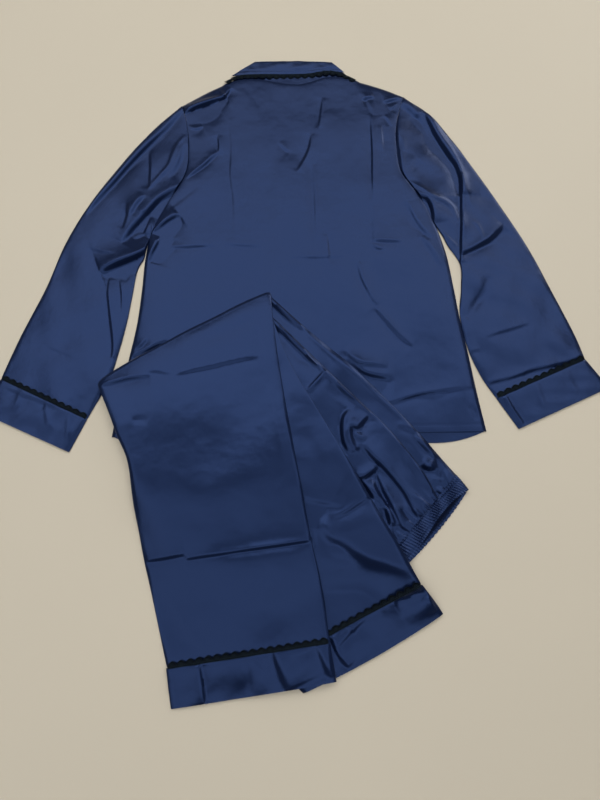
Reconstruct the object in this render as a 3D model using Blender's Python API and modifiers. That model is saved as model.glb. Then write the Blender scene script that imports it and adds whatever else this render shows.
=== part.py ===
"""A satin pyjama set, laid out flat: the jacket face down, the trousers folded over its lower left.

The tables are in millimetres on the plane that the set lies on: +X to the jacket's right sleeve,
+Y to its collar, +Z up.  Each piece of cloth is laid on the bed of what already lies there, so every
height follows from the cloth's thickness and the order of laying.
"""

from dataclasses import dataclass, field, replace
from math import ceil, cos, pi, radians, sin

import bpy
import numpy as np

MM = 0.001

# Cloth
WALL = 1.1  # one ply of satin, as a wall
SEAM = 0.3  # gap between two pieces at a seam
CLEAR = 0.4  # gap between a piece and what it lies on
INSIDE = 0.6  # gap between the two plies of a flattened tube
NOSE = 1.4  # half the thickness of a flattened tube, its edge's radius
TUBE = 2 * WALL + INSIDE

# Grids
CELL = 44.0  # the longest cell of a tube
PROBES = 7  # points along each side of a cell at which it is tested against the bed
PROBE_REACH = 5.0  # how far round each of them the bed is searched
SETTLING_PASSES = 60
SETTLED = 0.01  # the shortfall at which the settling stops
BED_LOW, BED_HIGH, BED_CELL = (-540, -220), (530, 940), 2.0
SLIVER = 1e-9  # a triangle of less area than this is passed over
EDGE_SHARE = 0.02  # how far past a triangle's edge its height is still taken
FOLD_FADE = 3  # how steeply the folds of a tube's cloth fade out at its edges

SHARP = radians(40)  # faces that meet at more than this show an edge

# Lace trim
LACE_WIDTH = 8.5
LACE_PITCH = 12.8
LACE_SCALLOP = 0.42  # share of the width that the scallops take
LACE_WALL = 1.0
SCALLOP_POINTS = 3
LACE_ENDS_IN = 2.5  # how far its ends stop short of the seam's
LACE_OVERLAP = 1.5  # how far its straight edge passes the seam

# Jacket body
SIDE_DROP = 3.0  # width of the edge that turns down to the floor at the side seams and shoulders
PLACKET = 30.0  # overlap of the two fronts
CENTRE_X = -6.0

BACK_LEFT_EDGE = (  # (y, x) up the left side seam, the armhole and to the shoulder tip
    (199, -291), (262, -284), (325, -274), (385, -265), (446, -261), (505, -259),
    (556, -251), (610, -228), (672, -199), (738, -198), (777, -204), (809, -213),
)
BACK_RIGHT_EDGE = (
    (208, 289), (266, 279), (330, 270), (396, 259), (455, 251), (515, 243),
    (570, 229), (622, 207), (677, 176), (735, 170), (780, 174), (829, 187),
)
ARMPIT_ROW = 6
BACK_COLUMNS = 17
NECKLINE_FROM = 0.55  # share of the back's rows from which they take up the neckline's curve
NECK_SHARES = (0.2, 0.78)  # of the way across, between which the back's top edge is the neckline
BACK_TOP = (  # (x, y) along the left shoulder, the neckline and the right shoulder
    (-213, 809), (-172, 836), (-134, 858), (-98, 863), (-52, 859), (-10, 855),
    (32, 862), (66, 866), (104, 863), (148, 849), (187, 829),
)
FRONT_HEM_SAG = 18.0  # how far the fronts' hem shows below the back's
FRONT_HEM_CURVE = 0.25  # share of the hem, from the side seam, over which it comes down
FRONT_COLUMNS = 10
HEM_FADE = 6  # how fast the hem's curve dies away up the front
NECK_POINT = (-120, 92)  # x of the fronts' two neck points on the shoulder line
LAPEL_BREAK_Y = 640.0  # where the fronts' edges part towards the neck


@dataclass(frozen=True)
class Section:
    """One section of a flattened tube, in plan.

    The bow is how far its middle stands out to the left of the way from its left edge to its right,
    and the lean is the power that moves the bow's peak off the middle.
    """

    left: tuple
    right: tuple
    bow: float = 0.0
    puff: float = 0.0
    lean: float = 1.0


@dataclass(frozen=True)
class Fold:
    """A soft ridge or trough of the upper cloth, from one point to another."""

    start: tuple
    end: tuple
    height: float
    width: float


SLEEVE_LEFT = (  # from the armhole to the cuff seam; left is the outer edge
    Section((-214.0, 811.0), (-252.0, 555.0), 10.0, 0.4),
    Section((-254.0, 767.0), (-262.0, 520.0), 7.0, 1.0),
    Section((-308.0, 695.0), (-271.0, 480.0), 3.0, 1.2),
    Section((-359.0, 613.0), (-276.0, 436.0), 0.0, 1.4),
    Section((-395.0, 534.0), (-281.0, 392.0), 0.0, 1.2),
    Section((-419.0, 452.0), (-289.0, 346.0), 0.0, 1.0),
    Section((-451.0, 366.0), (-302.0, 292.0), 0.0, 0.8),
    Section((-474.0, 294.0), (-331.0, 228.0), 0.0, 0.4),
)
SLEEVE_RIGHT = (  # left is the inner edge
    Section((234.5, 568.0), (192.0, 834.0), 14.0, 0.4),
    Section((248.0, 530.0), (244.0, 776.0), 8.0, 1.2),
    Section((267.0, 494.0), (293.0, 697.0), 3.0, 1.4),
    Section((266.0, 450.0), (342.0, 608.0), 0.0, 1.4),
    Section((264.0, 402.0), (384.0, 524.0), 0.0, 1.2),
    Section((271.0, 344.0), (417.0, 440.0), 0.0, 1.0),
    Section((288.0, 296.0), (443.0, 371.0), 0.0, 0.8),
    Section((308.0, 262.0), (456.0, 327.0), 0.0, 0.4),
)
CUFF_LEFT = (
    Section((-474.0, 294.0), (-331.0, 228.0)),
    Section((-500.0, 242.0), (-353.0, 178.0)),
)
CUFF_RIGHT = (
    Section((308.0, 262.0), (456.0, 327.0)),
    Section((338.0, 214.0), (487.0, 281.0)),
)

# Trousers: the outer leg lies lowest at the hip and, folded back, on top at its hem
OUTER_UPPER = (  # from the waist seam to the fold
    Section((140.0, 32.0), (237.5, 140.5), 0.0, 0.6),
    Section((30.0, 26.0), (208.0, 175.0), 0.0, 0.4),
    Section((-70.0, 52.0), (154.0, 238.0)),
    Section((-165.0, 120.0), (79.0, 314.0)),
    Section((-245.0, 200.0), (8.0, 379.0), 3.0),
    Section((-313.0, 276.0), (-48.0, 433.0), 8.0, lean=0.66),
)
OUTER_LOWER = (  # from the fold to the hem seam
    Section((-313.0, 276.0), (-48.0, 433.0), 8.0, lean=0.66),
    Section((-299.0, 237.0), (-39.0, 355.0), 2.0, lean=0.8),
    Section((-282.0, 198.0), (-26.0, 270.0)),
    Section((-262.0, 156.0), (-10.0, 184.0)),
    Section((-245.0, 85.0), (6.0, 97.0)),
    Section((-228.0, 15.0), (17.0, 40.0)),
    Section((-212.0, -42.0), (32.0, -30.0)),
    Section((-187.0, -131.0), (42.0, -96.0)),
)
HEM_BAND_OUTER = (
    Section((-187.0, -131.0), (42.0, -96.0)),
    Section((-178.0, -184.0), (50.0, -148.0), -3.0),
)
INNER_UPPER = (
    Section((140.0, 32.0), (206.0, 106.0), 0.0, 0.6),
    Section((36.0, 34.0), (180.0, 152.0), 0.0, 0.8),
    Section((-60.0, 62.0), (131.0, 216.0), 0.0, 0.4),
    Section((-152.0, 124.0), (70.0, 276.0)),
    Section((-230.0, 198.0), (9.0, 340.0)),
    Section((-290.0, 262.0), (-46.0, 395.0), -5.0),
)
INNER_LOWER = (
    Section((-290.0, 262.0), (-46.0, 395.0), -5.0),
    Section((-262.0, 206.0), (-14.0, 312.0)),
    Section((-230.0, 146.0), (32.0, 231.0)),
    Section((-196.0, 84.0), (74.0, 158.0)),
    Section((-157.0, 24.0), (111.0, 93.0)),
    Section((-118.0, -34.0), (145.0, 35.0)),
    Section((-36.0, -127.0), (174.0, -19.0)),
)
HEM_BAND_INNER = (
    Section((-36.0, -127.0), (174.0, -19.0)),
    Section((5.0, -164.0), (204.0, -60.0), -5.0),
)
FOLD_ANGLES = (-54, -18, 18, 54)
LEG_COLUMNS = 8
CUFF_COLUMNS = 6
SEAM_POINTS = 12  # along the seam that a trim follows

# Waist casing
CASING_SEAM = ((140.0, 32.0), (238.5, 139.5))
CASING_MOUTH = ((155.0, 7.0), (251.0, 121.0))
CASING_WALL = 1.5
CASING_HOLLOW = 3.6
CASING_RIBS = 40
RIB_POINTS = 3
CASING_RIB_HEIGHT = 0.9
CASING_MOUTH_SAG = 5.0  # how far the upper ply's edge draws back in the middle
CASING_LOWER_REACH = 3.5  # how far the lower ply shows past it
CASING_GAPE = 5.0  # how much further it shows where the mouth gapes
CASING_GAPE_LEAN = 4.0  # the power that moves the gape towards the hip
CASING_LOWER_COLUMNS = 12

# Collar
COLLAR_ROLL = ((-84.0, 903.0), (59.0, 902.0))
COLLAR_ROLL_BOW = 2.5
COLLAR_STAND = ((-128.0, 861.0), (98.0, 866.0))
COLLAR_FALL = ((-122.0, 869.5), (82.0, 883.0))
COLLAR_FALL_SAG = 5.0
COLLAR_COLUMNS = 17
COLLAR_LACE = ((-132, 863), (-95, 866), (-55, 867), (-15, 867), (25, 870), (56, 874), (80, 871), (101, 862))

BACK_FOLDS = (
    Fold((-200, 522), (-60, 520), 1.2, 16),
    Fold((-130, 760), (-112, 530), 1.4, 18),
    Fold((12, 700), (30, 540), 1.2, 16),
    Fold((118, 770), (126, 520), 1.6, 18),
    Fold((88, 480), (122, 390), 2.0, 15),
    Fold((122, 390), (176, 344), 2.4, 15),
    Fold((62, 330), (150, 296), 2.2, 18),
    Fold((150, 252), (284, 278), 1.2, 14),
)
SLEEVE_LEFT_FOLDS = (
    Fold((-235, 740), (-330, 620), 1.6, 14),
    Fold((-215, 700), (-262, 570), 1.8, 16),
    Fold((-318, 470), (-270, 520), 2.0, 15),
    Fold((-430, 350), (-360, 330), 1.2, 14),
)
SLEEVE_RIGHT_FOLDS = (
    Fold((226, 770), (280, 610), 2.2, 18),
    Fold((200, 650), (262, 560), 2.2, 16),
    Fold((272, 505), (350, 560), 1.8, 16),
    Fold((300, 470), (286, 400), 1.4, 18),
)
OUTER_LOWER_FOLDS = (
    Fold((-300, 270), (-150, 292), 2.0, 20),
    Fold((-150, 292), (-60, 320), 1.6, 20),
    Fold((-210, 180), (-20, 80), 1.6, 26),
    Fold((-78, -120), (-68, -170), 1.6, 14),
)
INNER_UPPER_FOLDS = (
    Fold((112, 190), (190, 75), 3.2, 15),
    Fold((92, 175), (165, 58), 2.6, 14),
    Fold((70, 240), (88, 180), 2.6, 18),
    Fold((42, 302), (16, 262), 2.0, 14),
)

COLOURS = {  # base colour in linear light, roughness
    "satin navy": ((0.018, 0.030, 0.098), 0.34),
    "lace black": ((0.008, 0.011, 0.015), 0.75),
}


def smooth(points, counts):
    """A Catmull-Rom curve through the rows of points, with counts[i] steps between rows i and i + 1."""
    rows = np.asarray(points, float)
    padded = np.vstack([2 * rows[0] - rows[1], rows, 2 * rows[-1] - rows[-2]])
    made = []
    for i, count in enumerate(counts):
        a, b, c, d = padded[i:i + 4]
        for t in np.arange(count) / count:
            made.append(0.5 * (2 * b + (c - a) * t + (2 * a - 5 * b + 4 * c - d) * t**2
                               + (3 * b - a - 3 * c + d) * t**3))
    made.append(rows[-1])
    return np.array(made)


def steps_between(points):
    """How many steps keep the cells between these rows under the longest cell."""
    rows = np.asarray(points, float)
    gaps = np.linalg.norm(np.diff(rows.reshape(len(rows), -1, 2), axis=0), axis=2).max(axis=1)
    return [max(1, ceil(gap / CELL)) for gap in gaps]


def fold_height(folds, x, y):
    """The height that the folds add at a point, fading to nothing at their ends."""
    total = 0.0
    for fold in folds:
        start, end = np.array(fold.start, float), np.array(fold.end, float)
        along = end - start
        t = np.dot((x, y) - start, along) / np.dot(along, along)
        if 0 < t < 1:
            away = np.linalg.norm((x, y) - start - t * along) / fold.width
            total += fold.height * np.exp(-away**2) * sin(pi * t) ** 0.6
    return total


class Bed:
    """The heights of the floor and of all that lies on it, on a fine grid."""

    def __init__(self):
        self.low, self.cell = np.array(BED_LOW, float), BED_CELL
        self.top = np.zeros(tuple(np.ceil((np.array(BED_HIGH) - BED_LOW) / BED_CELL).astype(int)))

    def lay(self, points, faces):
        """Adds a mesh, as points in millimetres and triangles."""
        flat = (points[:, :2] - self.low) / self.cell
        for face in faces:
            corners, heights = flat[face], points[face, 2]
            x0, y0 = np.floor(corners.min(axis=0)).astype(int)
            x1, y1 = np.ceil(corners.max(axis=0)).astype(int)
            u, v = corners[1] - corners[0], corners[2] - corners[0]
            area = u[0] * v[1] - u[1] * v[0]
            if abs(area) < SLIVER:
                continue
            gx, gy = np.meshgrid(np.arange(x0, x1 + 1), np.arange(y0, y1 + 1), indexing="ij")
            px, py = gx + 0.5 - corners[0, 0], gy + 0.5 - corners[0, 1]
            b, c = (px * v[1] - py * v[0]) / area, (u[0] * py - u[1] * px) / area
            inside = (b >= -EDGE_SHARE) & (c >= -EDGE_SHARE) & (b + c <= 1 + EDGE_SHARE)
            z = heights[0] + b * (heights[1] - heights[0]) + c * (heights[2] - heights[0])
            patch = self.top[x0:x1 + 1, y0:y1 + 1]
            patch[inside] = np.maximum(patch[inside], z[inside])
        cells = np.floor(flat).astype(int)
        np.maximum.at(self.top, (cells[:, 0], cells[:, 1]), points[:, 2])

    def lay_object(self, made):
        graph = bpy.context.evaluated_depsgraph_get()
        mesh = made.evaluated_get(graph).to_mesh()
        mesh.calc_loop_triangles()
        points = np.array([vertex.co for vertex in mesh.vertices]) / MM
        self.lay(points, np.array([triangle.vertices for triangle in mesh.loop_triangles]))
        made.evaluated_get(graph).to_mesh_clear()

    def lowest(self, plan, clear):
        """The lowest height at which cloth can lie at each (x, y), clear of all within a probe's reach."""
        steps = ceil(PROBE_REACH / self.cell)
        offsets = range(-steps, steps + 1)
        cells = np.floor((plan - self.low) / self.cell).astype(int)
        limit = np.array(self.top.shape) - 1
        found = np.zeros(plan.shape[:-1])
        for i in offsets:
            for j in offsets:
                at = np.clip(cells + (i, j), 0, limit)
                found = np.maximum(found, self.top[at[..., 0], at[..., 1]])
        return np.where(found > 0, found + clear, 0.0)

    def settle(self, plan, clear=CLEAR):
        """Heights for a grid of (x, y) points, so that the cloth between them lies clear of the bed."""
        height = self.lowest(plan, clear)
        u, v = np.meshgrid(*[np.linspace(0, 1, PROBES)] * 2, indexing="ij")
        shares = np.stack([(1 - u) * (1 - v), u * (1 - v), u * v, (1 - u) * v])
        corners = ((0, 0), (1, 0), (1, 1), (0, 1))
        rows, columns = plan.shape[0] - 1, plan.shape[1] - 1

        def spread(grid):
            parts = [grid[i:i + rows, j:j + columns, None, None] for i, j in corners]
            return sum(part * (share[..., None] if grid.ndim == 3 else share)
                       for part, share in zip(parts, shares))

        def flat_cells():
            a, b, c, d = (height[i:i + rows, j:j + columns, None, None] for i, j in corners)
            first = np.where(u >= v, a + u * (b - a) + v * (c - b), a + v * (d - a) + u * (c - d))
            near, far = a + u * (b - a) + v * (d - a), c + (1 - u) * (d - c) + (1 - v) * (b - c)
            second = np.where(u + v <= 1, near, far)
            return np.minimum(first, second)

        need = self.lowest(spread(plan), clear)
        ceiling = height.copy()
        for i, j in corners:
            part = ceiling[i:i + rows, j:j + columns]
            np.maximum(part, need.max(axis=(2, 3)), out=part)
        for _ in range(SETTLING_PASSES):
            short = need - flat_cells()
            if short.max() < SETTLED:
                break
            lift = np.zeros_like(height)
            for (i, j), share in zip(corners, shares):
                part = lift[i:i + rows, j:j + columns]
                np.maximum(part, (short * share).max(axis=(2, 3)), out=part)
            height = np.minimum(height + lift, ceiling)
        return height


@dataclass
class Workroom:
    """Makes the objects, each in the set's collection with its own material."""

    collection: object
    materials: dict = field(default_factory=dict)

    def material(self, name, finish):
        (red, green, blue), roughness = COLOURS[finish]
        made = bpy.data.materials.new(f"{finish} {name}")
        made.use_nodes = True
        shader = made.node_tree.nodes["Principled BSDF"]
        shader.inputs["Base Color"].default_value = (red, green, blue, 1.0)
        shader.inputs["Roughness"].default_value = roughness
        shader.inputs["Metallic"].default_value = 0.0
        return made

    def add(self, name, points, faces, finish="satin navy"):
        mesh = bpy.data.meshes.new(name)
        mesh.from_pydata((np.asarray(points) * MM).tolist(), [], faces)
        mesh.update()
        made = bpy.data.objects.new(name, mesh)
        made.data.materials.append(self.material(name, finish))
        self.collection.objects.link(made)
        mesh.shade_smooth()
        mesh.set_sharp_from_angle(angle=SHARP)
        return made

    def sheet(self, name, grid, wall=WALL, finish="satin navy"):
        """A panel: a grid of its underside's points, thickened upwards."""
        rows, columns = grid.shape[:2]
        faces = [(i * columns + j, i * columns + j + 1, (i + 1) * columns + j + 1, (i + 1) * columns + j)
                 for i in range(rows - 1) for j in range(columns - 1)]
        across, along = grid[0, 1] - grid[0, 0], grid[1, 0] - grid[0, 0]
        if across[0] * along[1] - across[1] * along[0] < 0:
            faces = [face[::-1] for face in faces]
        made = self.add(name, grid.reshape(-1, 3), faces, finish)
        self.thicken(made, wall, 1.0)
        return made

    def tube(self, name, rings, wall=WALL):
        """An open tube: rings of its outer skin's points, thickened inwards."""
        count, around = rings.shape[:2]
        faces = [(i * around + j, (i + 1) * around + j, (i + 1) * around + (j + 1) % around,
                  i * around + (j + 1) % around)
                 for i in range(count - 1) for j in range(around)]
        made = self.add(name, rings.reshape(-1, 3), faces)
        face_out(made)
        self.thicken(made, wall, -1.0)
        return made

    @staticmethod
    def thicken(made, wall, offset):
        solidify = made.modifiers.new("ply", "SOLIDIFY")
        solidify.thickness = wall * MM
        solidify.offset = offset
        solidify.use_even_offset = True
        solidify.use_rim = True


def face_out(made):
    """Turns all faces over if the highest one points down."""
    highest = max(made.data.polygons, key=lambda polygon: polygon.center.z)
    if highest.normal.z < 0:
        made.data.flip_normals()


# ---------------------------------------------------------------- flattened tubes


def edge_rows(sections):
    """Smooth rows of (left x, left y, right x, right y, bow, puff, lean) along a tube."""
    table = [(*section.left, *section.right, section.bow, section.puff, section.lean)
             for section in sections]
    return smooth(table, steps_between([row[:4] for row in table]))


def row_in_plan(row, shares, inset=0.0):
    """The points at these shares of the way across one such row, and the unit vector across it."""
    lx, ly, rx, ry, bow, _, lean = row
    left, right = np.array((lx, ly)), np.array((rx, ry))
    width = np.linalg.norm(right - left)
    across = (right - left) / width
    square = np.array((-across[1], across[0]))
    arch = 4 * shares**lean * (1 - shares**lean)
    return (left + across * (inset + shares[:, None] * (width - 2 * inset))
            + square * bow * arch[:, None]), across


def lay_rings(bed, rows, columns, folds=(), inner_ply="low", clear=CLEAR, start=None):
    """The skin of a flattened tube lying on the bed: rings of (inner ply, nose, outer ply, nose).

    A start gives the first ring's own points in plan, where the tube begins at a curved seam.
    """
    shares = np.linspace(0, 1, columns + 1)
    arch = 4 * shares * (1 - shares)
    plans, acrosses = zip(*[row_in_plan(row, shares, NOSE) for row in rows])
    plan = np.array(plans)
    if start is not None:
        plan[0] = start
    height = bed.settle(plan, clear)
    rings = []
    for puff, across, points, lows in zip(np.array(rows)[:, 5], acrosses, plan, height):
        lifts = np.array([fold_height(folds, *point) for point in points]) * np.minimum(1, FOLD_FADE * arch)
        low = np.column_stack([points, lows])
        high = np.column_stack([points, lows + TUBE + puff * arch + lifts])
        middle = (low + high) / 2
        nose_left = middle[0] - (*(across * NOSE), 0)
        nose_right = middle[-1] + (*(across * NOSE), 0)
        first, last = (low, high) if inner_ply == "low" else (high, low)
        rings.append(np.vstack([first, nose_right, last[::-1], nose_left]))
    return np.array(rings)


def bed_skin(bed, rings):
    """Lays a tube's skin on the bed before its object is made."""
    count, around = rings.shape[:2]
    index = np.arange(count * around).reshape(count, around)
    a, b = index[:-1], np.roll(index[:-1], -1, axis=1)
    c, d = np.roll(index[1:], -1, axis=1), index[1:]
    faces = np.concatenate([np.stack(t, axis=-1).reshape(-1, 3) for t in ((a, b, c), (a, c, d))])
    bed.lay(rings.reshape(-1, 3), faces)


def fold_rings(upper, lower, columns):
    """Rings round the fold, between the last ring of the upper part and the first of the lower."""
    plies = columns + 1
    left, right = lower[0, :2], lower[plies - 1, :2]
    across = (right - left) / np.linalg.norm(right - left)
    outward = np.array((-across[1], across[0]))
    rings = []
    for angle in FOLD_ANGLES:
        turn = radians(angle)
        ring = []
        for under, over in zip(upper, lower):
            radius = abs(over[2] - under[2]) / 2
            middle = (over + under) / 2
            rise = (over[2] - under[2]) / 2 * sin(turn)
            ring.append((*(middle[:2] + outward * radius * cos(turn)), middle[2] + rise))
        rings.append(ring)
    return np.array(rings)


def folded_leg(room, bed, name, upper, lower_sections, folds):
    """A leg's whole tube: the part laid first, the fold and the part folded back over it."""
    lower = lay_rings(bed, edge_rows(lower_sections), LEG_COLUMNS, folds, "low", 2 * CLEAR)
    bed_skin(bed, lower)
    rings = np.concatenate([upper, fold_rings(upper[-1], lower[0], LEG_COLUMNS), lower])
    return room.tube(name, rings)


def seam_gap(sections, at_end):
    """The sections with one end drawn back by the seam's gap."""
    kept = list(sections)
    end, before = (-1, -2) if at_end else (0, 1)
    moved = []
    for side in ("left", "right"):
        here, there = (np.array(getattr(kept[i], side)) for i in (end, before))
        moved.append(tuple(here + (there - here) / np.linalg.norm(there - here) * SEAM / 2))
    kept[end] = replace(kept[end], left=moved[0], right=moved[1])
    return tuple(kept)


# ---------------------------------------------------------------- the jacket


def armhole(side_edge, side_sign):
    """The sleeve's end at the armhole, from the armpit up, a seam's gap from the back.

    The gap is wider at the shoulder tip, where the back's edge turns down.
    """
    points = np.array([(x, y) for y, x in side_edge[ARMPIT_ROW:]], float)
    along = np.gradient(points, axis=0)
    square = np.column_stack([along[:, 1], -along[:, 0]]) / np.linalg.norm(along, axis=1)[:, None]
    gap = np.full((len(points), 1), SEAM)
    gap[-1] = 5 * SEAM
    return points + side_sign * gap * square


def back_grid_plan():
    """The back's plan as rows of (x, y), with an extra row and column near each edge that turns down."""
    steps = [2] * ARMPIT_ROW + [1] * (len(BACK_LEFT_EDGE) - 1 - ARMPIT_ROW)
    left = smooth([(x, y) for y, x in BACK_LEFT_EDGE], steps)
    right = smooth([(x, y) for y, x in BACK_RIGHT_EDGE], steps)
    top = smooth(BACK_TOP, [2] * (len(BACK_TOP) - 1))
    columns = np.linspace(0, 1, BACK_COLUMNS)[1:-1]
    plan = []
    for i, (start, end) in enumerate(zip(left, right)):
        width = np.linalg.norm(end - start)
        edge = SIDE_DROP / width
        shares = np.concatenate([[0, edge], columns, [1 - edge, 1]])
        rise = max(0.0, (i / (len(left) - 1) - NECKLINE_FROM) / (1 - NECKLINE_FROM)) ** 2
        row = []
        for share in shares:
            x, y = start + share * (end - start)
            x_top = top[0, 0] + share * (top[-1, 0] - top[0, 0])
            straight = top[0, 1] + share * (top[-1, 1] - top[0, 1])
            row.append((x, y + rise * (np.interp(x_top, top[:, 0], top[:, 1]) - straight)))
        plan.append(row)
    plan = np.array(plan)
    before_top = plan[-1] + (plan[-2] - plan[-1]) * (
        SIDE_DROP / np.linalg.norm(plan[-2] - plan[-1], axis=1))[:, None]
    return np.concatenate([plan[:-1], before_top[None], plan[-1:]])


def make_back(room, bed):
    plan = back_grid_plan()
    rows, columns = plan.shape[:2]
    armpit = 2 * ARMPIT_ROW
    height = bed.settle(plan)
    for i in range(rows):
        for j in range(columns):
            edge = j in (0, columns - 1)
            share = j / (columns - 1)
            if (edge and i < armpit) or (i == rows - 1 and not NECK_SHARES[0] < share < NECK_SHARES[1]):
                height[i, j] = 0.0
            else:
                height[i, j] += fold_height(BACK_FOLDS, *plan[i, j]) * 4 * share * (1 - share)
    made = room.sheet("jacket_back", np.dstack([plan, height]))
    bed.lay_object(made)


def front_plan(side_edge, side_sign):
    """One front's plan: from its side seam and armhole to its placket and neck edge."""
    inset = SIDE_DROP + 2 * SEAM
    edge_y, edge_x = np.array(side_edge, float).T
    tip_y = edge_y[-1] - inset
    side_y = np.minimum(edge_y, tip_y)
    insets = np.where(np.arange(len(side_edge)) <= ARMPIT_ROW, inset, SEAM)
    side = np.column_stack([np.interp(side_y, edge_y, edge_x) - side_sign * insets, side_y])
    neck_x = NECK_POINT[0] if side_sign < 0 else NECK_POINT[1]
    top = np.array(BACK_TOP, float)
    neck_y = np.interp(neck_x, top[:, 0], top[:, 1]) - inset
    centre = CENTRE_X - side_sign * PLACKET / 2
    plan = []
    for i, (x_side, y_side) in enumerate(side):
        share = i / (len(side) - 1)
        y_inner = (1 - share) * (side[0, 1] - FRONT_HEM_SAG) + share * neck_y
        opened = max(0.0, (y_inner - LAPEL_BREAK_Y) / (neck_y - LAPEL_BREAK_Y))
        x_inner = centre + opened * (neck_x - centre)
        hem = (1 - share) ** HEM_FADE
        row = []
        for t in np.linspace(0, 1, FRONT_COLUMNS):
            sag = -hem * FRONT_HEM_SAG * (1 - (1 - min(1.0, t / FRONT_HEM_CURVE)) ** 2 - t)
            row.append((x_side + t * (x_inner - x_side), y_side + t * (y_inner - y_side) + sag))
        plan.append(row)
    return np.array(plan)


def make_front(room, bed, name, side_edge, side_sign):
    plan = front_plan(side_edge, side_sign)
    bed.lay_object(room.sheet(name, np.dstack([plan, bed.settle(plan)])))


def make_sleeve(room, bed, side, sections, cuff_sections, folds):
    """A sleeve from its armhole to its cuff, and the cuff, both flat on the floor."""
    start = armhole(BACK_RIGHT_EDGE, 1) if side == "right" else armhole(BACK_LEFT_EDGE, -1)[::-1]
    rows = edge_rows(seam_gap(sections, True))
    rings = lay_rings(Bed(), rows, len(start) - 1, folds, start=start)
    bed.lay_object(room.tube(f"sleeve_{side}", rings))
    rows = edge_rows(seam_gap(cuff_sections, False))
    bed.lay_object(room.tube(f"cuff_{side}", lay_rings(Bed(), rows, CUFF_COLUMNS)))


def collar_ends(share):
    """The stand's seam, the roll line and the fall's edge in plan, this share of the way across."""
    ends = []
    for left, right in (COLLAR_STAND, COLLAR_ROLL, COLLAR_FALL):
        ends.append(np.array(left) + share * (np.array(right) - np.array(left)))
    stand, roll, fall = ends
    roll[1] += COLLAR_ROLL_BOW * sin(pi * share)
    stand[1] = np.interp(stand[0], *back_grid_plan()[-1].T) + 3 * SEAM
    fall[1] -= COLLAR_FALL_SAG * sin(pi * share) ** 0.8 * share
    return stand, roll, fall


def make_collar(room, bed):
    """One rolled piece: the stand from the neck seam out to the roll, and the fall back over it."""
    outer = (TUBE + CLEAR + WALL) / 2
    columns = []
    for share in np.linspace(0, 1, COLLAR_COLUMNS):
        stand, roll, fall = collar_ends(share)
        column = [(*stand, 3 * CLEAR), (*((stand + roll) / 2), CLEAR), (*roll, 0.0)]
        for angle in FOLD_ANGLES:
            turn = radians(angle)
            column.append((roll[0], roll[1] + outer * cos(turn), outer + outer * sin(turn)))
        column += [(*roll, 2 * outer), (*((roll + fall) / 2), 2 * outer + CLEAR),
                   (*fall, 2 * outer + CLEAR / 2)]
        columns.append(column)
    skin = np.array(columns)
    rows = skin.shape[1]
    faces = [(i * rows + j, i * rows + j + 1, (i + 1) * rows + j + 1, (i + 1) * rows + j)
             for i in range(COLLAR_COLUMNS - 1) for j in range(rows - 1)]
    made = room.add("collar", skin.reshape(-1, 3), faces)
    if made.data.polygons[0].normal.z > 0:
        made.data.flip_normals()
    room.thicken(made, WALL, -1.0)
    bed.lay_object(made)


# ---------------------------------------------------------------- the trim and the waist


def make_lace(room, bed, name, route, side_sign):
    """A scalloped strip along a route, its scallops on the side that side_sign names."""
    route = np.array(route, float)
    lengths = np.concatenate([[0], np.cumsum(np.linalg.norm(np.diff(route, axis=0), axis=1))])
    length = lengths[-1] - 2 * LACE_ENDS_IN
    scallops = round(length / LACE_PITCH)
    rows = []
    for edge in range(2):
        row = []
        for i in range(SCALLOP_POINTS * scallops + 1):
            at = LACE_ENDS_IN + length * i / (SCALLOP_POINTS * scallops)
            here = np.array([np.interp(at, lengths, route[:, k]) for k in range(2)])
            near = [np.array([np.interp(at + step, lengths, route[:, k]) for k in range(2)])
                    for step in (-1, 1)]
            along = (near[1] - near[0]) / np.linalg.norm(near[1] - near[0])
            square = side_sign * np.array((-along[1], along[0]))
            reach = LACE_WIDTH * (1.0 if i % SCALLOP_POINTS else 1 - LACE_SCALLOP)
            row.append(here + square * (reach if edge else -LACE_OVERLAP))
        rows.append(row)
    plan = np.array(rows)
    made = room.sheet(name, np.dstack([plan, bed.settle(plan)]), LACE_WALL, "lace black")
    bed.lay_object(made)


def seam_route(sections):
    """The line across a tube at its first section."""
    return row_in_plan(edge_rows(sections)[0], np.linspace(0, 1, SEAM_POINTS))[0]


def casing_ring(depth, inset, edge, low, high, rib):
    """One skin's ring at this depth: the lower ply, a nose, the upper ply with its ribs and a nose."""
    seam, mouth = np.array(CASING_SEAM), np.array(CASING_MOUTH)
    across = (seam[1] - seam[0]) / np.linalg.norm(seam[1] - seam[0])
    outward = np.array((across[1], -across[0]))
    left, right = seam + depth * (mouth - seam) + (1 - depth) * SEAM * outward
    upper_count = RIB_POINTS * CASING_RIBS

    def point(share):
        return left + across * inset + share * (right - left - 2 * inset * across)

    ring = []
    for share in np.linspace(0, 1, CASING_LOWER_COLUMNS + 1):
        reach = CASING_LOWER_REACH * sin(pi * share) ** 0.5 + CASING_GAPE * sin(pi * share**CASING_GAPE_LEAN)
        ring.append((*(point(share) + outward * depth * reach), low))
    ring.append((*(right - across * edge), (low + high) / 2))
    for i in range(upper_count, -1, -1):
        share = i / upper_count
        drawn_back = outward * depth * CASING_MOUTH_SAG * sin(pi * share)
        ring.append((*(point(share) - drawn_back), high + (rib if i % RIB_POINTS == 1 else 0.0)))
    ring.append((*(left + across * edge), (low + high) / 2))
    return ring


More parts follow.
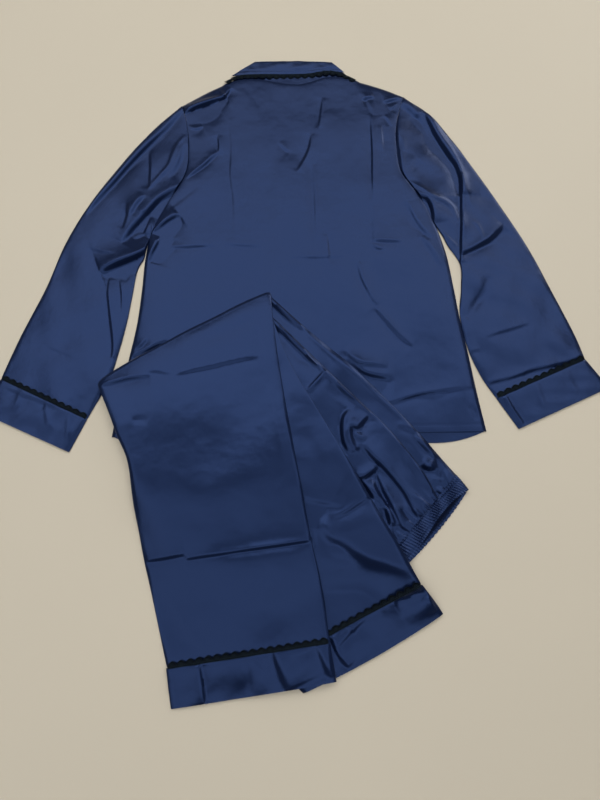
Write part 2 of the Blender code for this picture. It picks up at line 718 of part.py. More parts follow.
def make_casing(room):
    """The elastic casing: a flattened tube with ribs raised over a plain inside."""
    height = 2 * CASING_WALL + CASING_HOLLOW
    outer = [casing_ring(depth, NOSE, 0.0, 0.0, height, CASING_RIB_HEIGHT) for depth in (0.0, 1.0)]
    inner = [casing_ring(depth, NOSE + CASING_WALL, NOSE, CASING_WALL, height - CASING_WALL, 0.0)
             for depth in (0.0, 1.0)]
    return loft_wall(room, "waist_casing", np.array(outer), np.array(inner))


def loft_wall(room, name, outer, inner):
    """A tube's wall between two unlike skins, closed by a rim at each end."""
    count, around = outer.shape[:2]
    shift = count * around

    def quad(i, j, base):
        after = (j + 1) % around
        return (base + i * around + j, base + i * around + after,
                base + (i + 1) * around + after, base + (i + 1) * around + j)

    faces = [quad(i, j, 0) for i in range(count - 1) for j in range(around)]
    faces += [quad(i, j, shift)[::-1] for i in range(count - 1) for j in range(around)]
    for end, turned in ((0, False), (count - 1, True)):
        for j in range(around):
            after = (j + 1) % around
            face = (end * around + j, shift + end * around + j, shift + end * around + after,
                    end * around + after)
            faces.append(face[::-1] if turned else face)
    made = room.add(name, np.concatenate([outer.reshape(-1, 3), inner.reshape(-1, 3)]), faces)
    face_out(made)
    return made


# ---------------------------------------------------------------- the set


def make_jacket(room, bed):
    make_front(room, bed, "jacket_front_right", BACK_RIGHT_EDGE, 1)
    make_front(room, bed, "jacket_front_left", BACK_LEFT_EDGE, -1)
    make_back(room, bed)
    make_sleeve(room, bed, "left", SLEEVE_LEFT, CUFF_LEFT, SLEEVE_LEFT_FOLDS)
    make_sleeve(room, bed, "right", SLEEVE_RIGHT, CUFF_RIGHT, SLEEVE_RIGHT_FOLDS)
    make_lace(room, bed, "cuff_lace_left", seam_route(CUFF_LEFT), 1)
    make_lace(room, bed, "cuff_lace_right", seam_route(CUFF_RIGHT), 1)
    make_collar(room, bed)
    make_lace(room, bed, "collar_lace", COLLAR_LACE, -1)


def make_band(room, bed, side, sections):
    """A leg's hem band, and the lace along its seam."""
    rows = edge_rows(seam_gap(sections, False))
    bed.lay_object(room.tube(f"hem_band_{side}", lay_rings(bed, rows, LEG_COLUMNS)))
    make_lace(room, bed, f"hem_lace_{side}", seam_route(sections), 1)


def make_trousers(room, bed):
    outer_upper = lay_rings(bed, edge_rows(OUTER_UPPER), LEG_COLUMNS, (), "high")
    bed_skin(bed, outer_upper)
    inner_upper = lay_rings(bed, edge_rows(INNER_UPPER), LEG_COLUMNS, INNER_UPPER_FOLDS, "high")
    bed_skin(bed, inner_upper)
    bed.lay_object(make_casing(room))
    folded_leg(room, bed, "leg_inner", inner_upper, seam_gap(INNER_LOWER, True), ())
    make_band(room, bed, "inner", HEM_BAND_INNER)
    folded_leg(room, bed, "leg_outer", outer_upper, seam_gap(OUTER_LOWER, True), OUTER_LOWER_FOLDS)
    make_band(room, bed, "outer", HEM_BAND_OUTER)


def centre_on_origin(collection):
    """Moves every mesh so that the bottom centre of the set's box is the origin."""
    graph = bpy.context.evaluated_depsgraph_get()
    corners = []
    for made in collection.objects:
        mesh = made.evaluated_get(graph).to_mesh()
        points = np.array([vertex.co for vertex in mesh.vertices])
        corners += [points.min(axis=0), points.max(axis=0)]
        made.evaluated_get(graph).to_mesh_clear()
    low, high = np.min(corners, axis=0), np.max(corners, axis=0)
    shift = np.array(((low[0] + high[0]) / 2, (low[1] + high[1]) / 2, low[2]))
    for made in collection.objects:
        for vertex in made.data.vertices:
            vertex.co = np.array(vertex.co) - shift
    print("origin in the layout's frame:", np.round(shift / MM, 2), "box:", np.round((high - low) / MM, 1))


def main():
    for made in list(bpy.data.objects):
        bpy.data.objects.remove(made)
    collection = bpy.data.collections.new("pyjama set")
    bpy.context.scene.collection.children.link(collection)
    room, bed = Workroom(collection), Bed()
    make_jacket(room, bed)
    make_trousers(room, bed)
    centre_on_origin(collection)


if __name__ == "__main__":
    main()
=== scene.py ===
"""Dresses the satin pyjama set: the jacket lies face down, the trousers folded over its lower left.

Sizes are millimetres on the plane that the set lies on, with +X to the jacket's right sleeve, +Y to
its collar and the camera's foot at the origin.  Workroom turns them into the frame's metres.  Each
piece of cloth is laid on the bed of what already lies there, in the order of laying.
"""

import logging
from dataclasses import dataclass, field, replace
from enum import Enum
from math import ceil, cos, pi, radians, sin
from typing import Any, Optional, Sequence, Union

import bmesh
import bpy
import numpy as np
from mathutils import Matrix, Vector

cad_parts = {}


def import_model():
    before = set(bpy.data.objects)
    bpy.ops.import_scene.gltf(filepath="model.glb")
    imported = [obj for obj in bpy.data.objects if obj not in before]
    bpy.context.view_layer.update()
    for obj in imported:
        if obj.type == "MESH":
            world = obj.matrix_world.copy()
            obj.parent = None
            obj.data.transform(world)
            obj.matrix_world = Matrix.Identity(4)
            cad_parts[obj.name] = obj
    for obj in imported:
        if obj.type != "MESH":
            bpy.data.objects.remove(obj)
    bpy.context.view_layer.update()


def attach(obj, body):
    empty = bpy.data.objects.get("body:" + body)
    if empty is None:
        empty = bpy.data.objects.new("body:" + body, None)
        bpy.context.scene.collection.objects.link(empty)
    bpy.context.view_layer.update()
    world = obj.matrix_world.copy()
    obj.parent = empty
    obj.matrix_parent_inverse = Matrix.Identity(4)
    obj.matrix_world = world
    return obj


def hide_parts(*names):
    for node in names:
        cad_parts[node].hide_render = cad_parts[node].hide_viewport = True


LOG = logging.getLogger("pyjama_set")
Point = tuple[float, float]
Grid = np.ndarray
Triple = tuple[float, float, float]
Line = tuple[Point, ...]
Object = bpy.types.Object
Socket = bpy.types.NodeSocket
Sockets = dict[Union[str, int], Any]

MM = 0.001
LAYOUT_ORIGIN = np.array((-6.5, 361.53, 0.0))  # the frame's origin in the layout
FRAME_PIXELS = (600, 800)
SMALL = 1e-9
FAR = 1e9

# Cloth
PLY = 0.8  # one ply with its finish
SEAM = 0.3  # gap between two pieces at a seam
CLEAR = 0.4  # gap between a piece and what it lies on
TUBE = 3.4  # two plies of a flattened tube and the air between them
EDGE = 1.7  # the same at its pressed edge
EDGE_ROUND = 1.9  # how far in from its edge a tube comes to its full thickness
PRESSED_ROUND = 20.0  # how much farther at an edge that is pressed flat
CELL = 2.15  # cell of a ply that shows
LINING_STEP = 3  # cells of the outer skin to one of the inner
NOSE_TURNS = (-50.0, 0.0, 50.0)
START_BLEND = 42.0  # how far down a sleeve its rows keep the armhole's curve
SEAM_DIP = 0.7  # how far a seam draws the cloth down
SEAM_ROUND = 2.0  # over what distance
LEAST = 0.9  # least thickness of a tube
BACK_AIR = 1.8  # how far the back's cloth stands off what it lies on
INSIDE_LEAST = 0.1  # least height of the space inside a tube
INSIDE_EDGE = 0.2  # how much farther than a ply that space keeps from the tube's edges
INSIDE_NARROW = 60.0  # width of a tube under which it keeps from them by less
THREAD_LIFT = np.array((0.0, 0.0, 0.12))  # from the cloth to the middle of a thread on it
CORD_LIFT = 0.3  # from the cloth to the underside of a cord, beyond the lace's gap
EDGE_STEPS = 12  # steps of a curve between two points of an edge
TOP_STEPS = 8  # the same at the upper edge and its lace


class Trim(Enum):
    """What a piece is made of, by the name of the record's material slot."""

    SATIN = "satin"
    LACE = "lace"


# ---- curves and grids


def catmull(rows: Grid, steps: int) -> Grid:
    """A Catmull-Rom curve through rows of numbers.

    Args:
        rows: one row a knot.
        steps: steps between two knots.

    Returns:
        The rows of the curve, the last knot included.
    """
    padded = np.vstack([2 * rows[0] - rows[1], rows, 2 * rows[-1] - rows[-2]])
    t = (np.arange(steps) / steps)[:, None]
    made = []
    for a, b, c, d in zip(padded, padded[1:], padded[2:], padded[3:]):
        made.append(0.5 * (2 * b + (c - a) * t + (2 * a - 5 * b + 4 * c - d) * t**2
                           + (3 * b - a - 3 * c + d) * t**3))
    return np.vstack([*made, rows[-1:]])


def resample(rows: Grid, along: Grid, count: int) -> Grid:
    """Rows at count even steps of their distance along.

    Args:
        rows: one row a station.
        along: each station's distance.
        count: how many rows to return.

    Returns:
        The resampled rows.
    """
    at = np.linspace(along[0], along[-1], count)
    return np.column_stack([np.interp(at, along, column) for column in rows.T])


def distances(points: Grid) -> Grid:
    """The distance along a route of points at each of them."""
    return np.concatenate([[0.0], np.cumsum(np.linalg.norm(np.diff(points, axis=0), axis=1))])


def ease(values: Grid, low: float, high: float) -> Grid:
    """A smooth step from 0 at low to 1 at high."""
    t = np.clip((np.asarray(values, float) - low) / (high - low), 0, 1)
    return t * t * (3 - 2 * t)


def cells(length: float, cell: float) -> int:
    """How many cells of about this size fit a length, in whole groups of the lining's step."""
    return LINING_STEP * max(1, ceil(length / (LINING_STEP * cell)))


def bell(values: Grid, width: Union[float, Grid]) -> Grid:
    """A bell curve of this width, which is 1 where the values are 0."""
    return np.exp(-((values / width) ** 2))


def bilinear(u: Any, v: Any, corners: Sequence[Grid]) -> Grid:
    """What lies between four corners, a share u down the rows and v along the columns."""
    shares = ((1 - u) * (1 - v), u * (1 - v), (1 - u) * v, u * v)
    return sum(share * corner for share, corner in zip(shares, corners))


def squares(line: Grid) -> Grid:
    """The unit vectors to the left of a line of (x, y) points."""
    way = np.gradient(line, axis=0)
    return np.column_stack([-way[:, 1], way[:, 0]]) / np.linalg.norm(way, axis=1)[:, None]


def widths(rows: Grid) -> Grid:
    """The distance from the first to the last point of each row."""
    return np.linalg.norm(rows[:, -1] - rows[:, 0], axis=1)


def from_row(plan: Grid, row: int) -> Grid:
    """How far each point lies from its column's point in this row."""
    return np.linalg.norm(plan - plan[row], axis=2)


def to_frame(points: Grid) -> Grid:
    """Points of the layout in the frame's metres."""
    return (points - LAYOUT_ORIGIN) * MM


def placed(name: str, data: bpy.types.ID) -> Object:
    """A new object in the scene."""
    made = bpy.data.objects.new(name, data)
    bpy.context.scene.collection.objects.link(made)
    return made


# ---- the camera


@dataclass
class Camera:
    """The camera over the set, and what its frame sees on the cloth."""

    height: float = 940.0
    tilt: float = 15.4
    focal: float = 620.0  # in pixels of the frame

    def build(self) -> None:
        """Makes the scene's camera."""
        data = bpy.data.cameras.new("camera")
        data.sensor_width = 36.0
        data.lens = self.focal * data.sensor_width / max(FRAME_PIXELS)
        data.clip_start, data.clip_end = 0.01, 50.0
        made = placed("camera", data)
        made.location = to_frame(np.array((0.0, 0.0, self.height)))
        made.rotation_euler = (radians(self.tilt), 0.0, 0.0)
        bpy.context.scene.camera = made

    def floor_points(self, pixels: Sequence[Point], level: float) -> Grid:
        """Where pixels of the frame meet a level.

        Args:
            pixels: points of the frame, from its upper left.
            level: height above the floor.

        Returns:
            One (x, y) a pixel.
        """
        at = np.asarray(pixels, float)
        x = (at[:, 0] - FRAME_PIXELS[0] / 2) / self.focal
        y = (FRAME_PIXELS[1] / 2 - at[:, 1]) / self.focal
        turn = radians(self.tilt)
        ray_y, ray_z = y * cos(turn) + sin(turn), y * sin(turn) - cos(turn)
        reach = (level - self.height) / ray_z
        return np.column_stack([x * reach, ray_y * reach])


CAMERA = Camera()


# ---- relief of the cloth


class Form(Enum):
    """The section of a crease."""

    ROUND = "a round ridge or trough"
    STEP = "a steep flank between a ridge on its left and a trough on its right"


STEP_PEAK = 1.53  # makes a step's ridge as high as its height
STEP_STEEP = 1.5  # how steep its flank is
STEP_FADE = 2.8  # widths over which it levels out on either side
REACHES = {Form.ROUND: 3.5, Form.STEP: 9.0}  # widths from its route at which a crease is level
ROUTE_STEPS = 6  # steps of a crease's curve between two points of its route


@dataclass(frozen=True)
class Crease:
    """A crease of the cloth, along a route in pixels of the camera's frame.

    A height below 0 makes a trough of a ridge, and turns a step's ridge to the right of the route.
    """

    route: Line
    height: float
    width: float
    form: Form = Form.ROUND
    ends: float = 0.6
    taper: float = 1.0  # its width at the route's end as a share of that at its start

    def at(self, plan: Grid, level: float) -> Grid:
        """The height that the crease adds.

        Args:
            plan: (x, y) points, in an array of any shape.
            level: height of the cloth that carries it.

        Returns:
            One height a point.
        """
        route = catmull(CAMERA.floor_points(self.route, level), ROUTE_STEPS)
        along = distances(route)
        flat = plan.reshape(-1, 2)
        reach = REACHES[self.form] * self.width * max(1.0, self.taper)
        inside = (flat > route.min(axis=0) - reach) & (flat < route.max(axis=0) + reach)
        near = np.all(inside, axis=1)
        at = flat[near]
        best, side, share = np.full(len(at), FAR), np.ones(len(at)), np.zeros(len(at))
        for start, end, s0, s1 in zip(route, route[1:], along, along[1:]):
            way = end - start
            t = np.clip(((at - start) @ way) / max(way @ way, SMALL), 0, 1)
            off = at - start - t[:, None] * way
            away = np.hypot(off[:, 0], off[:, 1])
            closer = away < best
            best = np.where(closer, away, best)
            side = np.where(closer, way[0] * off[:, 1] - way[1] * off[:, 0], side)
            share = np.where(closer, (s0 + t * (s1 - s0)) / along[-1], share)
        off = best / (self.width * (1 + (self.taper - 1) * share))
        across = bell(off, 1.0)
        if self.form is Form.STEP:
            flank = np.tanh(STEP_STEEP * off) * np.exp(-off / STEP_FADE)
            across = flank * np.sign(side) * STEP_PEAK
        made = np.zeros(len(flat))
        made[near] = self.height * across * np.sin(pi * np.clip(share, 0, 1)) ** self.ends
        return made.reshape(plan.shape[:-1])


def ridge(height: float, width: float, *pixels: float, ends: float = 0.6,
          taper: float = 1.0) -> Crease:
    """A round ridge or, below 0, a trough, along a route of pixels given as x and y in turn."""
    return Crease(tuple(zip(pixels[::2], pixels[1::2])), height, width, Form.ROUND, ends, taper)


def step(height: float, width: float, *pixels: float, ends: float = 0.6,
         taper: float = 1.0) -> Crease:
    """A steep flank, with its ridge on the left of the route or, below 0, on the right."""
    return replace(ridge(height, width, *pixels, ends=ends, taper=taper), form=Form.STEP)


@dataclass(frozen=True)
class Ripple:
    """The broad soft unevenness of cloth that was smoothed out by hand."""

    seed: int
    spacing: float = 90.0
    height: float = 0.35
    waves: int = 9

    def at(self, plan: Grid) -> Grid:
        """The height that the ripple adds at each point of the plan."""
        rng = np.random.default_rng(self.seed)
        total = np.zeros(plan.shape[:-1])
        ranges = ((0, pi), (0.55, 1.6), (0, 2 * pi))
        for turn, share, phase in zip(*(rng.uniform(*limits, self.waves) for limits in ranges)):
            way = plan[..., 0] * cos(turn) + plan[..., 1] * sin(turn)
            total += np.sin(2 * pi * way / (self.spacing * share) + phase)
        return total * self.height / (self.waves / 2) ** 0.5


@dataclass(frozen=True)
class Gathers:
    """Small ridges that fan out from a seam."""

    seam: tuple[Point, Point]
    count: int
    height: float
    reach: float
    seed: int
    width: float = 1.6
    skew: float = 0.25

    def at(self, plan: Grid) -> Grid:
        """The height that the gathers add at each point of the plan."""
        start, end = np.array(self.seam, float)
        length = np.linalg.norm(end - start)
        way = (end - start) / length
        off = plan - start
        along, away = off @ way, np.abs(off @ np.array((-way[1], way[0])))
        rng = np.random.default_rng(self.seed)
        total = np.zeros(plan.shape[:-1])
        for i in range(self.count):
            centre = length * (i + 0.5 + rng.uniform(-0.35, 0.35)) / self.count
            reach = self.reach * rng.uniform(0.4, 1.5)
            height = self.height * rng.uniform(0.5, 1.4)
            lean = self.skew * rng.uniform(-1, 1)
            wide = self.width * rng.uniform(0.8, 1.5) * (1 + away / self.reach)
            total += height * bell(along - centre - lean * away, wide) * np.exp(-away / reach)
        return total


@dataclass(frozen=True)
class Relief:
    """All that stands on one piece's upper side."""

    creases: tuple[Crease, ...] = ()
    ripple: Ripple = Ripple(1)
    gathers: tuple[Gathers, ...] = ()
    level: float = 4.0

    def at(self, plan: Grid) -> Grid:
        """The height that creases, gathers and ripple add at each point of the plan."""
        total = self.ripple.at(plan)
        for made in self.creases:
            total = total + made.at(plan, self.level)
        for gathers in self.gathers:
            total = total + gathers.at(plan)
        return total


# ---- the bed


def widest(field_: Grid, reach: int) -> Grid:
    """Each cell's highest neighbour within reach, both ways."""
    for axis in (0, 1):
        grown = field_.copy()
        for way in range(-reach, reach + 1):
            grown = np.maximum(grown, np.roll(field_, way, axis))
        field_ = grown
    return field_


def softened(field_: Grid, reach: int) -> Grid:
    """Each cell's mean over its neighbours within reach, both ways."""
    for axis in (0, 1):
        moved = (np.roll(field_, way, axis) for way in range(-reach, reach + 1))
        field_ = sum(moved) / (2 * reach + 1)
    return field_


@dataclass
class Bed:
    """The heights of the floor and of all that lies on it, on a fine grid."""

    low: Point = (-560.0, -240.0)
    high: Point = (560.0, 960.0)
    cell: float = 2.0
    finer: int = 3
    top: Grid = field(init=False)

    def __post_init__(self) -> None:
        """Clears the bed down to the floor."""
        size = np.ceil((np.array(self.high) - self.low) / self.cell).astype(int)
        self.top = np.zeros(tuple(size))

    def lay(self, skin: Grid) -> None:
        """Raises the bed to a grid of points.

        Args:
            skin: rows and columns of (x, y, z).
        """
        corners = [skin[:-1, :-1], skin[1:, :-1], skin[:-1, 1:], skin[1:, 1:]]
        for i in range(self.finer + 1):
            for j in range(self.finer + 1):
                at = bilinear(i / self.finer, j / self.finer, corners).reshape(-1, 3)
                cell = np.floor((at[:, :2] - self.low) / self.cell).astype(int)
                np.maximum.at(self.top, (cell[:, 0], cell[:, 1]), at[:, 2])

    def rest(self, plan: Grid, reach: int, clear: float = CLEAR) -> Grid:
        """How low cloth can lie when it drapes over what is there.

        Args:
            plan: (x, y) points.
            reach: cells over which a step beneath spreads on each side.
            clear: gap to what lies beneath.

        Returns:
            One height a point.
        """
        draped = softened(widest(self.top, 2 * reach), reach)
        draped = softened(draped, reach)
        at = (plan - self.low) / self.cell - 0.5
        whole = np.floor(at).astype(int)
        part = at - whole
        i, j = whole[..., 0], whole[..., 1]
        corners = (draped[i, j], draped[i + 1, j], draped[i, j + 1], draped[i + 1, j + 1])
        height = bilinear(part[..., 0], part[..., 1], corners)
        return height + clear * ease(height, 0.0, 0.5)


# ---- flattened tubes


@dataclass(frozen=True)
class Section:
    """One section of a flattened tube, in plan.

    The bow is how far its middle stands out to the left of the way from left to right, and the
    lean is the power that moves the bow's peak off the middle.  The puff is how far its upper ply
    rises more, and pressed is how flat its right edge is pressed, from 0 to 1.
    """

    left: Point
    right: Point
    bow: float = 0.0
    puff: float = 0.0
    lean: float = 1.0
    pressed: float = 0.0

    @property
    def line(self) -> Grid:
        """Its two ends, as (x, y) points."""
        return np.array([self.left, self.right], float)


Sections = tuple[Section, ...]


def sectioned(*rows: tuple[float, ...]) -> Sections:
    """Sections from rows of left x and y, right x and y, and then bow, puff, lean and pressed."""
    return tuple(Section(row[:2], row[2:4], *row[4:]) for row in rows)


def along_middle(rows: Grid) -> Grid:
    """How far along a tube's middle each of its rows lies."""
    return distances((rows[:, :2] + rows[:, 2:4]) / 2)


def even_rows(sections: Sequence[Section], cell: float) -> Grid:
    """Even rows of (left x, left y, right x, right y, bow, puff, lean, pressed) along a tube.

    Args:
        sections: the tube's sections.
        cell: about how far apart the rows are.

    Returns:
        The rows, one more than a whole number of lining steps.
    """
    table = np.array([(*s.left, *s.right, s.bow, s.puff, s.lean, s.pressed) for s in sections])
    fine = catmull(table, 24)
    along = along_middle(fine)
    return resample(fine, along, cells(along[-1], cell) + 1)


@dataclass
class Plies:
    """The two plies of a flattened tube: their plan and the outsides' heights, row by row."""

    plan: Grid
    low: Grid
    high: Grid
    across: Grid

    def skin(self, inside_low: bool) -> Grid:
        """Rings of the ply on the inside of a fold, an edge, the other ply and an edge.

        Args:
            inside_low: whether the lower ply is on the inside of the fold.

        Returns:
            Rows, points around, (x, y, z).
        """
        low, high = np.dstack([self.plan, self.low]), np.dstack([self.plan, self.high])
        first, last = (low, high) if inside_low else (high, low)
        noses = []
        for at, way in ((-1, 1), (0, -1)):
            middle = (low[:, at] + high[:, at]) / 2
            radius = (high[:, at, 2] - low[:, at, 2]) / 2
            turns = NOSE_TURNS if inside_low == (way > 0) else NOSE_TURNS[::-1]
            points = []
            for turn in turns:
                out = way * radius * cos(radians(turn))
                points.append(np.column_stack([middle[:, :2] + out[:, None] * self.across,
                                               middle[:, 2] + radius * sin(radians(turn))]))
            noses.append(np.stack(points, axis=1))
        return np.concatenate([first, noses[0], last[:, ::-1], noses[1]], axis=1)

    def lining(self) -> "Plies":
        """The tube's inside, a ply in from the outside and in larger cells."""
        every, near = LINING_STEP, range(1 - LINING_STEP, LINING_STEP)
        low, high = self.low, self.high
        for axis in (0, 1):
            low = np.max([np.roll(low, way, axis) for way in near], axis=0)
            high = np.min([np.roll(high, way, axis) for way in near], axis=0)
        for edge in (0, -1):
            low[edge], high[edge] = self.low[edge], self.high[edge]
            low[:, edge], high[:, edge] = self.low[:, edge], self.high[:, edge]
        low, high = low[::every, ::every] + PLY, high[::every, ::every] - PLY
        middle, half = (low + high) / 2, INSIDE_LEAST / 2
        low, high = np.minimum(low, middle - half), np.maximum(high, middle + half)
        plan, across = self.plan[::every, ::every], self.across[::every]
        inset = (PLY + INSIDE_EDGE) * np.minimum(1, widths(plan) / INSIDE_NARROW)[:, None, None]
        share = np.linspace(-1, 1, plan.shape[1])[None, :, None]
        return Plies(plan - share * inset * across[:, None, :], low, high, across)


@dataclass(frozen=True)
class TubeShape:
    """A flattened tube of cloth: its sections, its cells and what stands on it."""

    sections: Sections
    relief: Relief = Relief()
    columns: int = 84
    cell: float = CELL
    seam_at: tuple[bool, bool] = (False, False)  # whether its first and last rows are seams
    drape: int = 3  # cells over which its lower ply spreads a step beneath
    soften: int = 5  # the same for its upper ply

    def rows(self) -> Grid:
        """Even rows, drawn back by half the seam's gap at a seam."""
        kept = list(self.sections)
        for end, before, seam in ((0, 1, self.seam_at[0]), (-1, -2, self.seam_at[1])):
            if seam:
                moved = {}
                for side in ("left", "right"):
                    here, there = (np.array(getattr(kept[i], side)) for i in (end, before))
                    way = (there - here) / np.linalg.norm(there - here)
                    moved[side] = tuple(here + way * SEAM / 2)
                kept[end] = replace(kept[end], **moved)
        return even_rows(kept, self.cell)

    def plan(self, rows: Grid) -> tuple[Grid, Grid]:
        """The plan of such rows.

        Args:
            rows: as even_rows makes them.

        Returns:
            The (x, y) points, row by row, and each row's unit vector across.
        """
        left, right = rows[:, :2], rows[:, 2:4]
        width = np.linalg.norm(right - left, axis=1)[:, None]
        across = (right - left) / width
        square = np.column_stack([-across[:, 1], across[:, 0]])
        shares = np.linspace(0, 1, self.columns + 1)
        leaned = shares[None, :] ** rows[:, 6:7]
        arch = 4 * leaned * (1 - leaned)
        reach = EDGE / 2 + shares[None, :] * (width - EDGE)
        return (left[:, None] + across[:, None] * reach[..., None]
                + square[:, None] * (rows[:, 4:5] * arch)[..., None]), across

    def lay(self, bed: Bed, start: Optional[Grid] = None, clear: float = CLEAR) -> Plies:
        """Lays the tube on the bed.

        Args:
            bed: what lies there.
            start: the first row's own plan, where the tube begins at a curved seam.
            clear: gap to what lies beneath.

        Returns:
            The two plies.
        """
        rows = self.rows()
        plan, across = self.plan(rows)
        along = along_middle(rows)
        if start is not None:
            plan = plan + (1 - ease(along, 0, START_BLEND))[:, None, None] * (start - plan[0])[None]
        shares = np.linspace(0, 1, self.columns + 1)[None, :]
        edge = np.minimum(shares, 1 - shares) * widths(plan)[:, None]
        pressed = np.clip(rows[:, 7:8], 0, 1) * (shares > 0.5)
        inner = 1 - np.exp(-edge / (EDGE_ROUND + PRESSED_ROUND * pressed))
        low = bed.rest(plan, self.drape, clear)
        soft = np.maximum(low, bed.rest(plan, self.soften, clear))
        puff = rows[:, 5:6] * 4 * shares * (1 - shares)
        rise = EDGE + (TUBE - EDGE + puff + self.relief.at(plan)) * inner
        rise = rise - pressed * (EDGE - LEAST) * (1 - inner)
        for seam, away in zip(self.seam_at, (along, along[-1] - along)):
            if seam:
                rise = rise - SEAM_DIP * np.exp(-away / SEAM_ROUND)[:, None]
        high = np.maximum(low + LEAST, soft + rise)
        return Plies(plan, low, high, across)


def ply_points(around: int) -> int:
    """How many points of a tube's ring lie on one of its plies."""
    return around // 2 - len(NOSE_TURNS)


def fold_rings(under: Grid, over: Grid, count: int) -> Grid:
    """Rings round a fold.

    Args:
        under: the last ring of the part that lies below.
        over: the first ring of the part folded back over it.
        count: how many rings.

    Returns:
        The rings, without the two that were given.
    """
    across = over[ply_points(len(over)) - 1, :2] - over[0, :2]
    outward = np.array((-across[1], across[0])) / np.linalg.norm(across)
    middle, rise = (over + under) / 2, (over[:, 2] - under[:, 2]) / 2
    rings = []
    for turn in np.radians(np.linspace(-90, 90, count + 2)[1:-1]):
        flat = middle[:, :2] + outward * (np.abs(rise) * cos(turn))[:, None]
        rings.append(np.column_stack([flat, middle[:, 2] + rise * sin(turn)]))
    return np.array(rings)


# ---- meshes


def ring_quads(rings: int, around: int, base: int) -> Grid:
    """The faces between closed rings of points, numbered from base."""
    index = base + np.arange(rings * around).reshape(rings, around)
    after = np.roll(index, -1, axis=1)
    return np.stack([index[:-1], index[1:], after[1:], after[:-1]], axis=-1).reshape(-1, 4)


def grid_quads(rows: int, columns: int, base: int) -> Grid:
    """The faces of a grid of points, numbered from base."""
    index = base + np.arange(rows * columns).reshape(rows, columns)
    corners = [index[:-1, :-1], index[1:, :-1], index[1:, 1:], index[:-1, 1:]]
    return np.stack(corners, axis=-1).reshape(-1, 4)


def zipped(first: Grid, first_at: Grid, second: Grid, second_at: Grid) -> list[tuple[int, ...]]:
    """Triangles between two closed loops of unlike counts.

    Args:
        first: one loop's vertices.
        first_at: their places round the loop, from 0 to under 1.
        second: the other loop's vertices.
        second_at: their places.

    Returns:
        The triangles.
    """
    faces, i, j, n, m = [], 0, 0, len(first), len(second)
    while i < n or j < m:
        next_i = first_at[i + 1] if i + 1 < n else 1 + first_at[0]
        next_j = second_at[j + 1] if j + 1 < m else 1 + second_at[0]
        if j >= m or (i < n and next_i <= next_j):
            faces.append((first[i % n], first[(i + 1) % n], second[j % m]))
            i += 1
        else:
            faces.append((first[i % n], second[(j + 1) % m], second[j % m]))
            j += 1
    return faces


def border(rows: int, columns: int, base: int) -> tuple[Grid, Grid]:
    """A grid's outer vertices in order, and their places round it."""
    index = base + np.arange(rows * columns).reshape(rows, columns)
    sides = [index[0, :-1], index[:-1, -1], index[-1, :0:-1], index[:0:-1, 0]]
    places = [(k + np.arange(len(side)) / len(side)) / 4 for k, side in enumerate(sides)]
    return np.concatenate(sides), np.concatenate(places)


def ring_places(around: int) -> Grid:
    """The places round a tube's ring of this many points, from 0 to under 1."""
    nose = len(NOSE_TURNS)
    ply = np.linspace(0, 1, ply_points(around))
    turn = 1 + 0.1 * (np.arange(nose) + 1) / (nose + 1)
    return np.concatenate([ply, turn, 1.1 + ply, 1.1 + turn]) / 2.2


def grain_of(rows: Grid, shares: Grid, last: int) -> Grid:
    """How far each point lies across and along its cloth.

    Args:
        rows: rows of points along the cloth.
        shares: each point's share of the way across, in one row.
        last: the point of a row at the cloth's far edge.

    Returns:
        One (across, along) a point.
    """
    width = np.linalg.norm(rows[:, last] - rows[:, 0], axis=1)[:, None]
    along = np.broadcast_to(distances(rows.mean(axis=1))[:, None], rows.shape[:2])
    return np.stack([shares * width, along], axis=-1).reshape(-1, 2)


def mesh_points(made: Object) -> Grid:
    """An object's vertices."""
    points = np.empty(len(made.data.vertices) * 3)
    made.data.vertices.foreach_get("co", points)
    return points.reshape(-1, 3)


@dataclass(frozen=True)
class Cut:
    """How a piece of cloth was cut and how it lies."""

    width: float
    length: float
    rests_on: tuple[str, ...] = ()
    held: str = "laid"
    area: Optional[float] = None


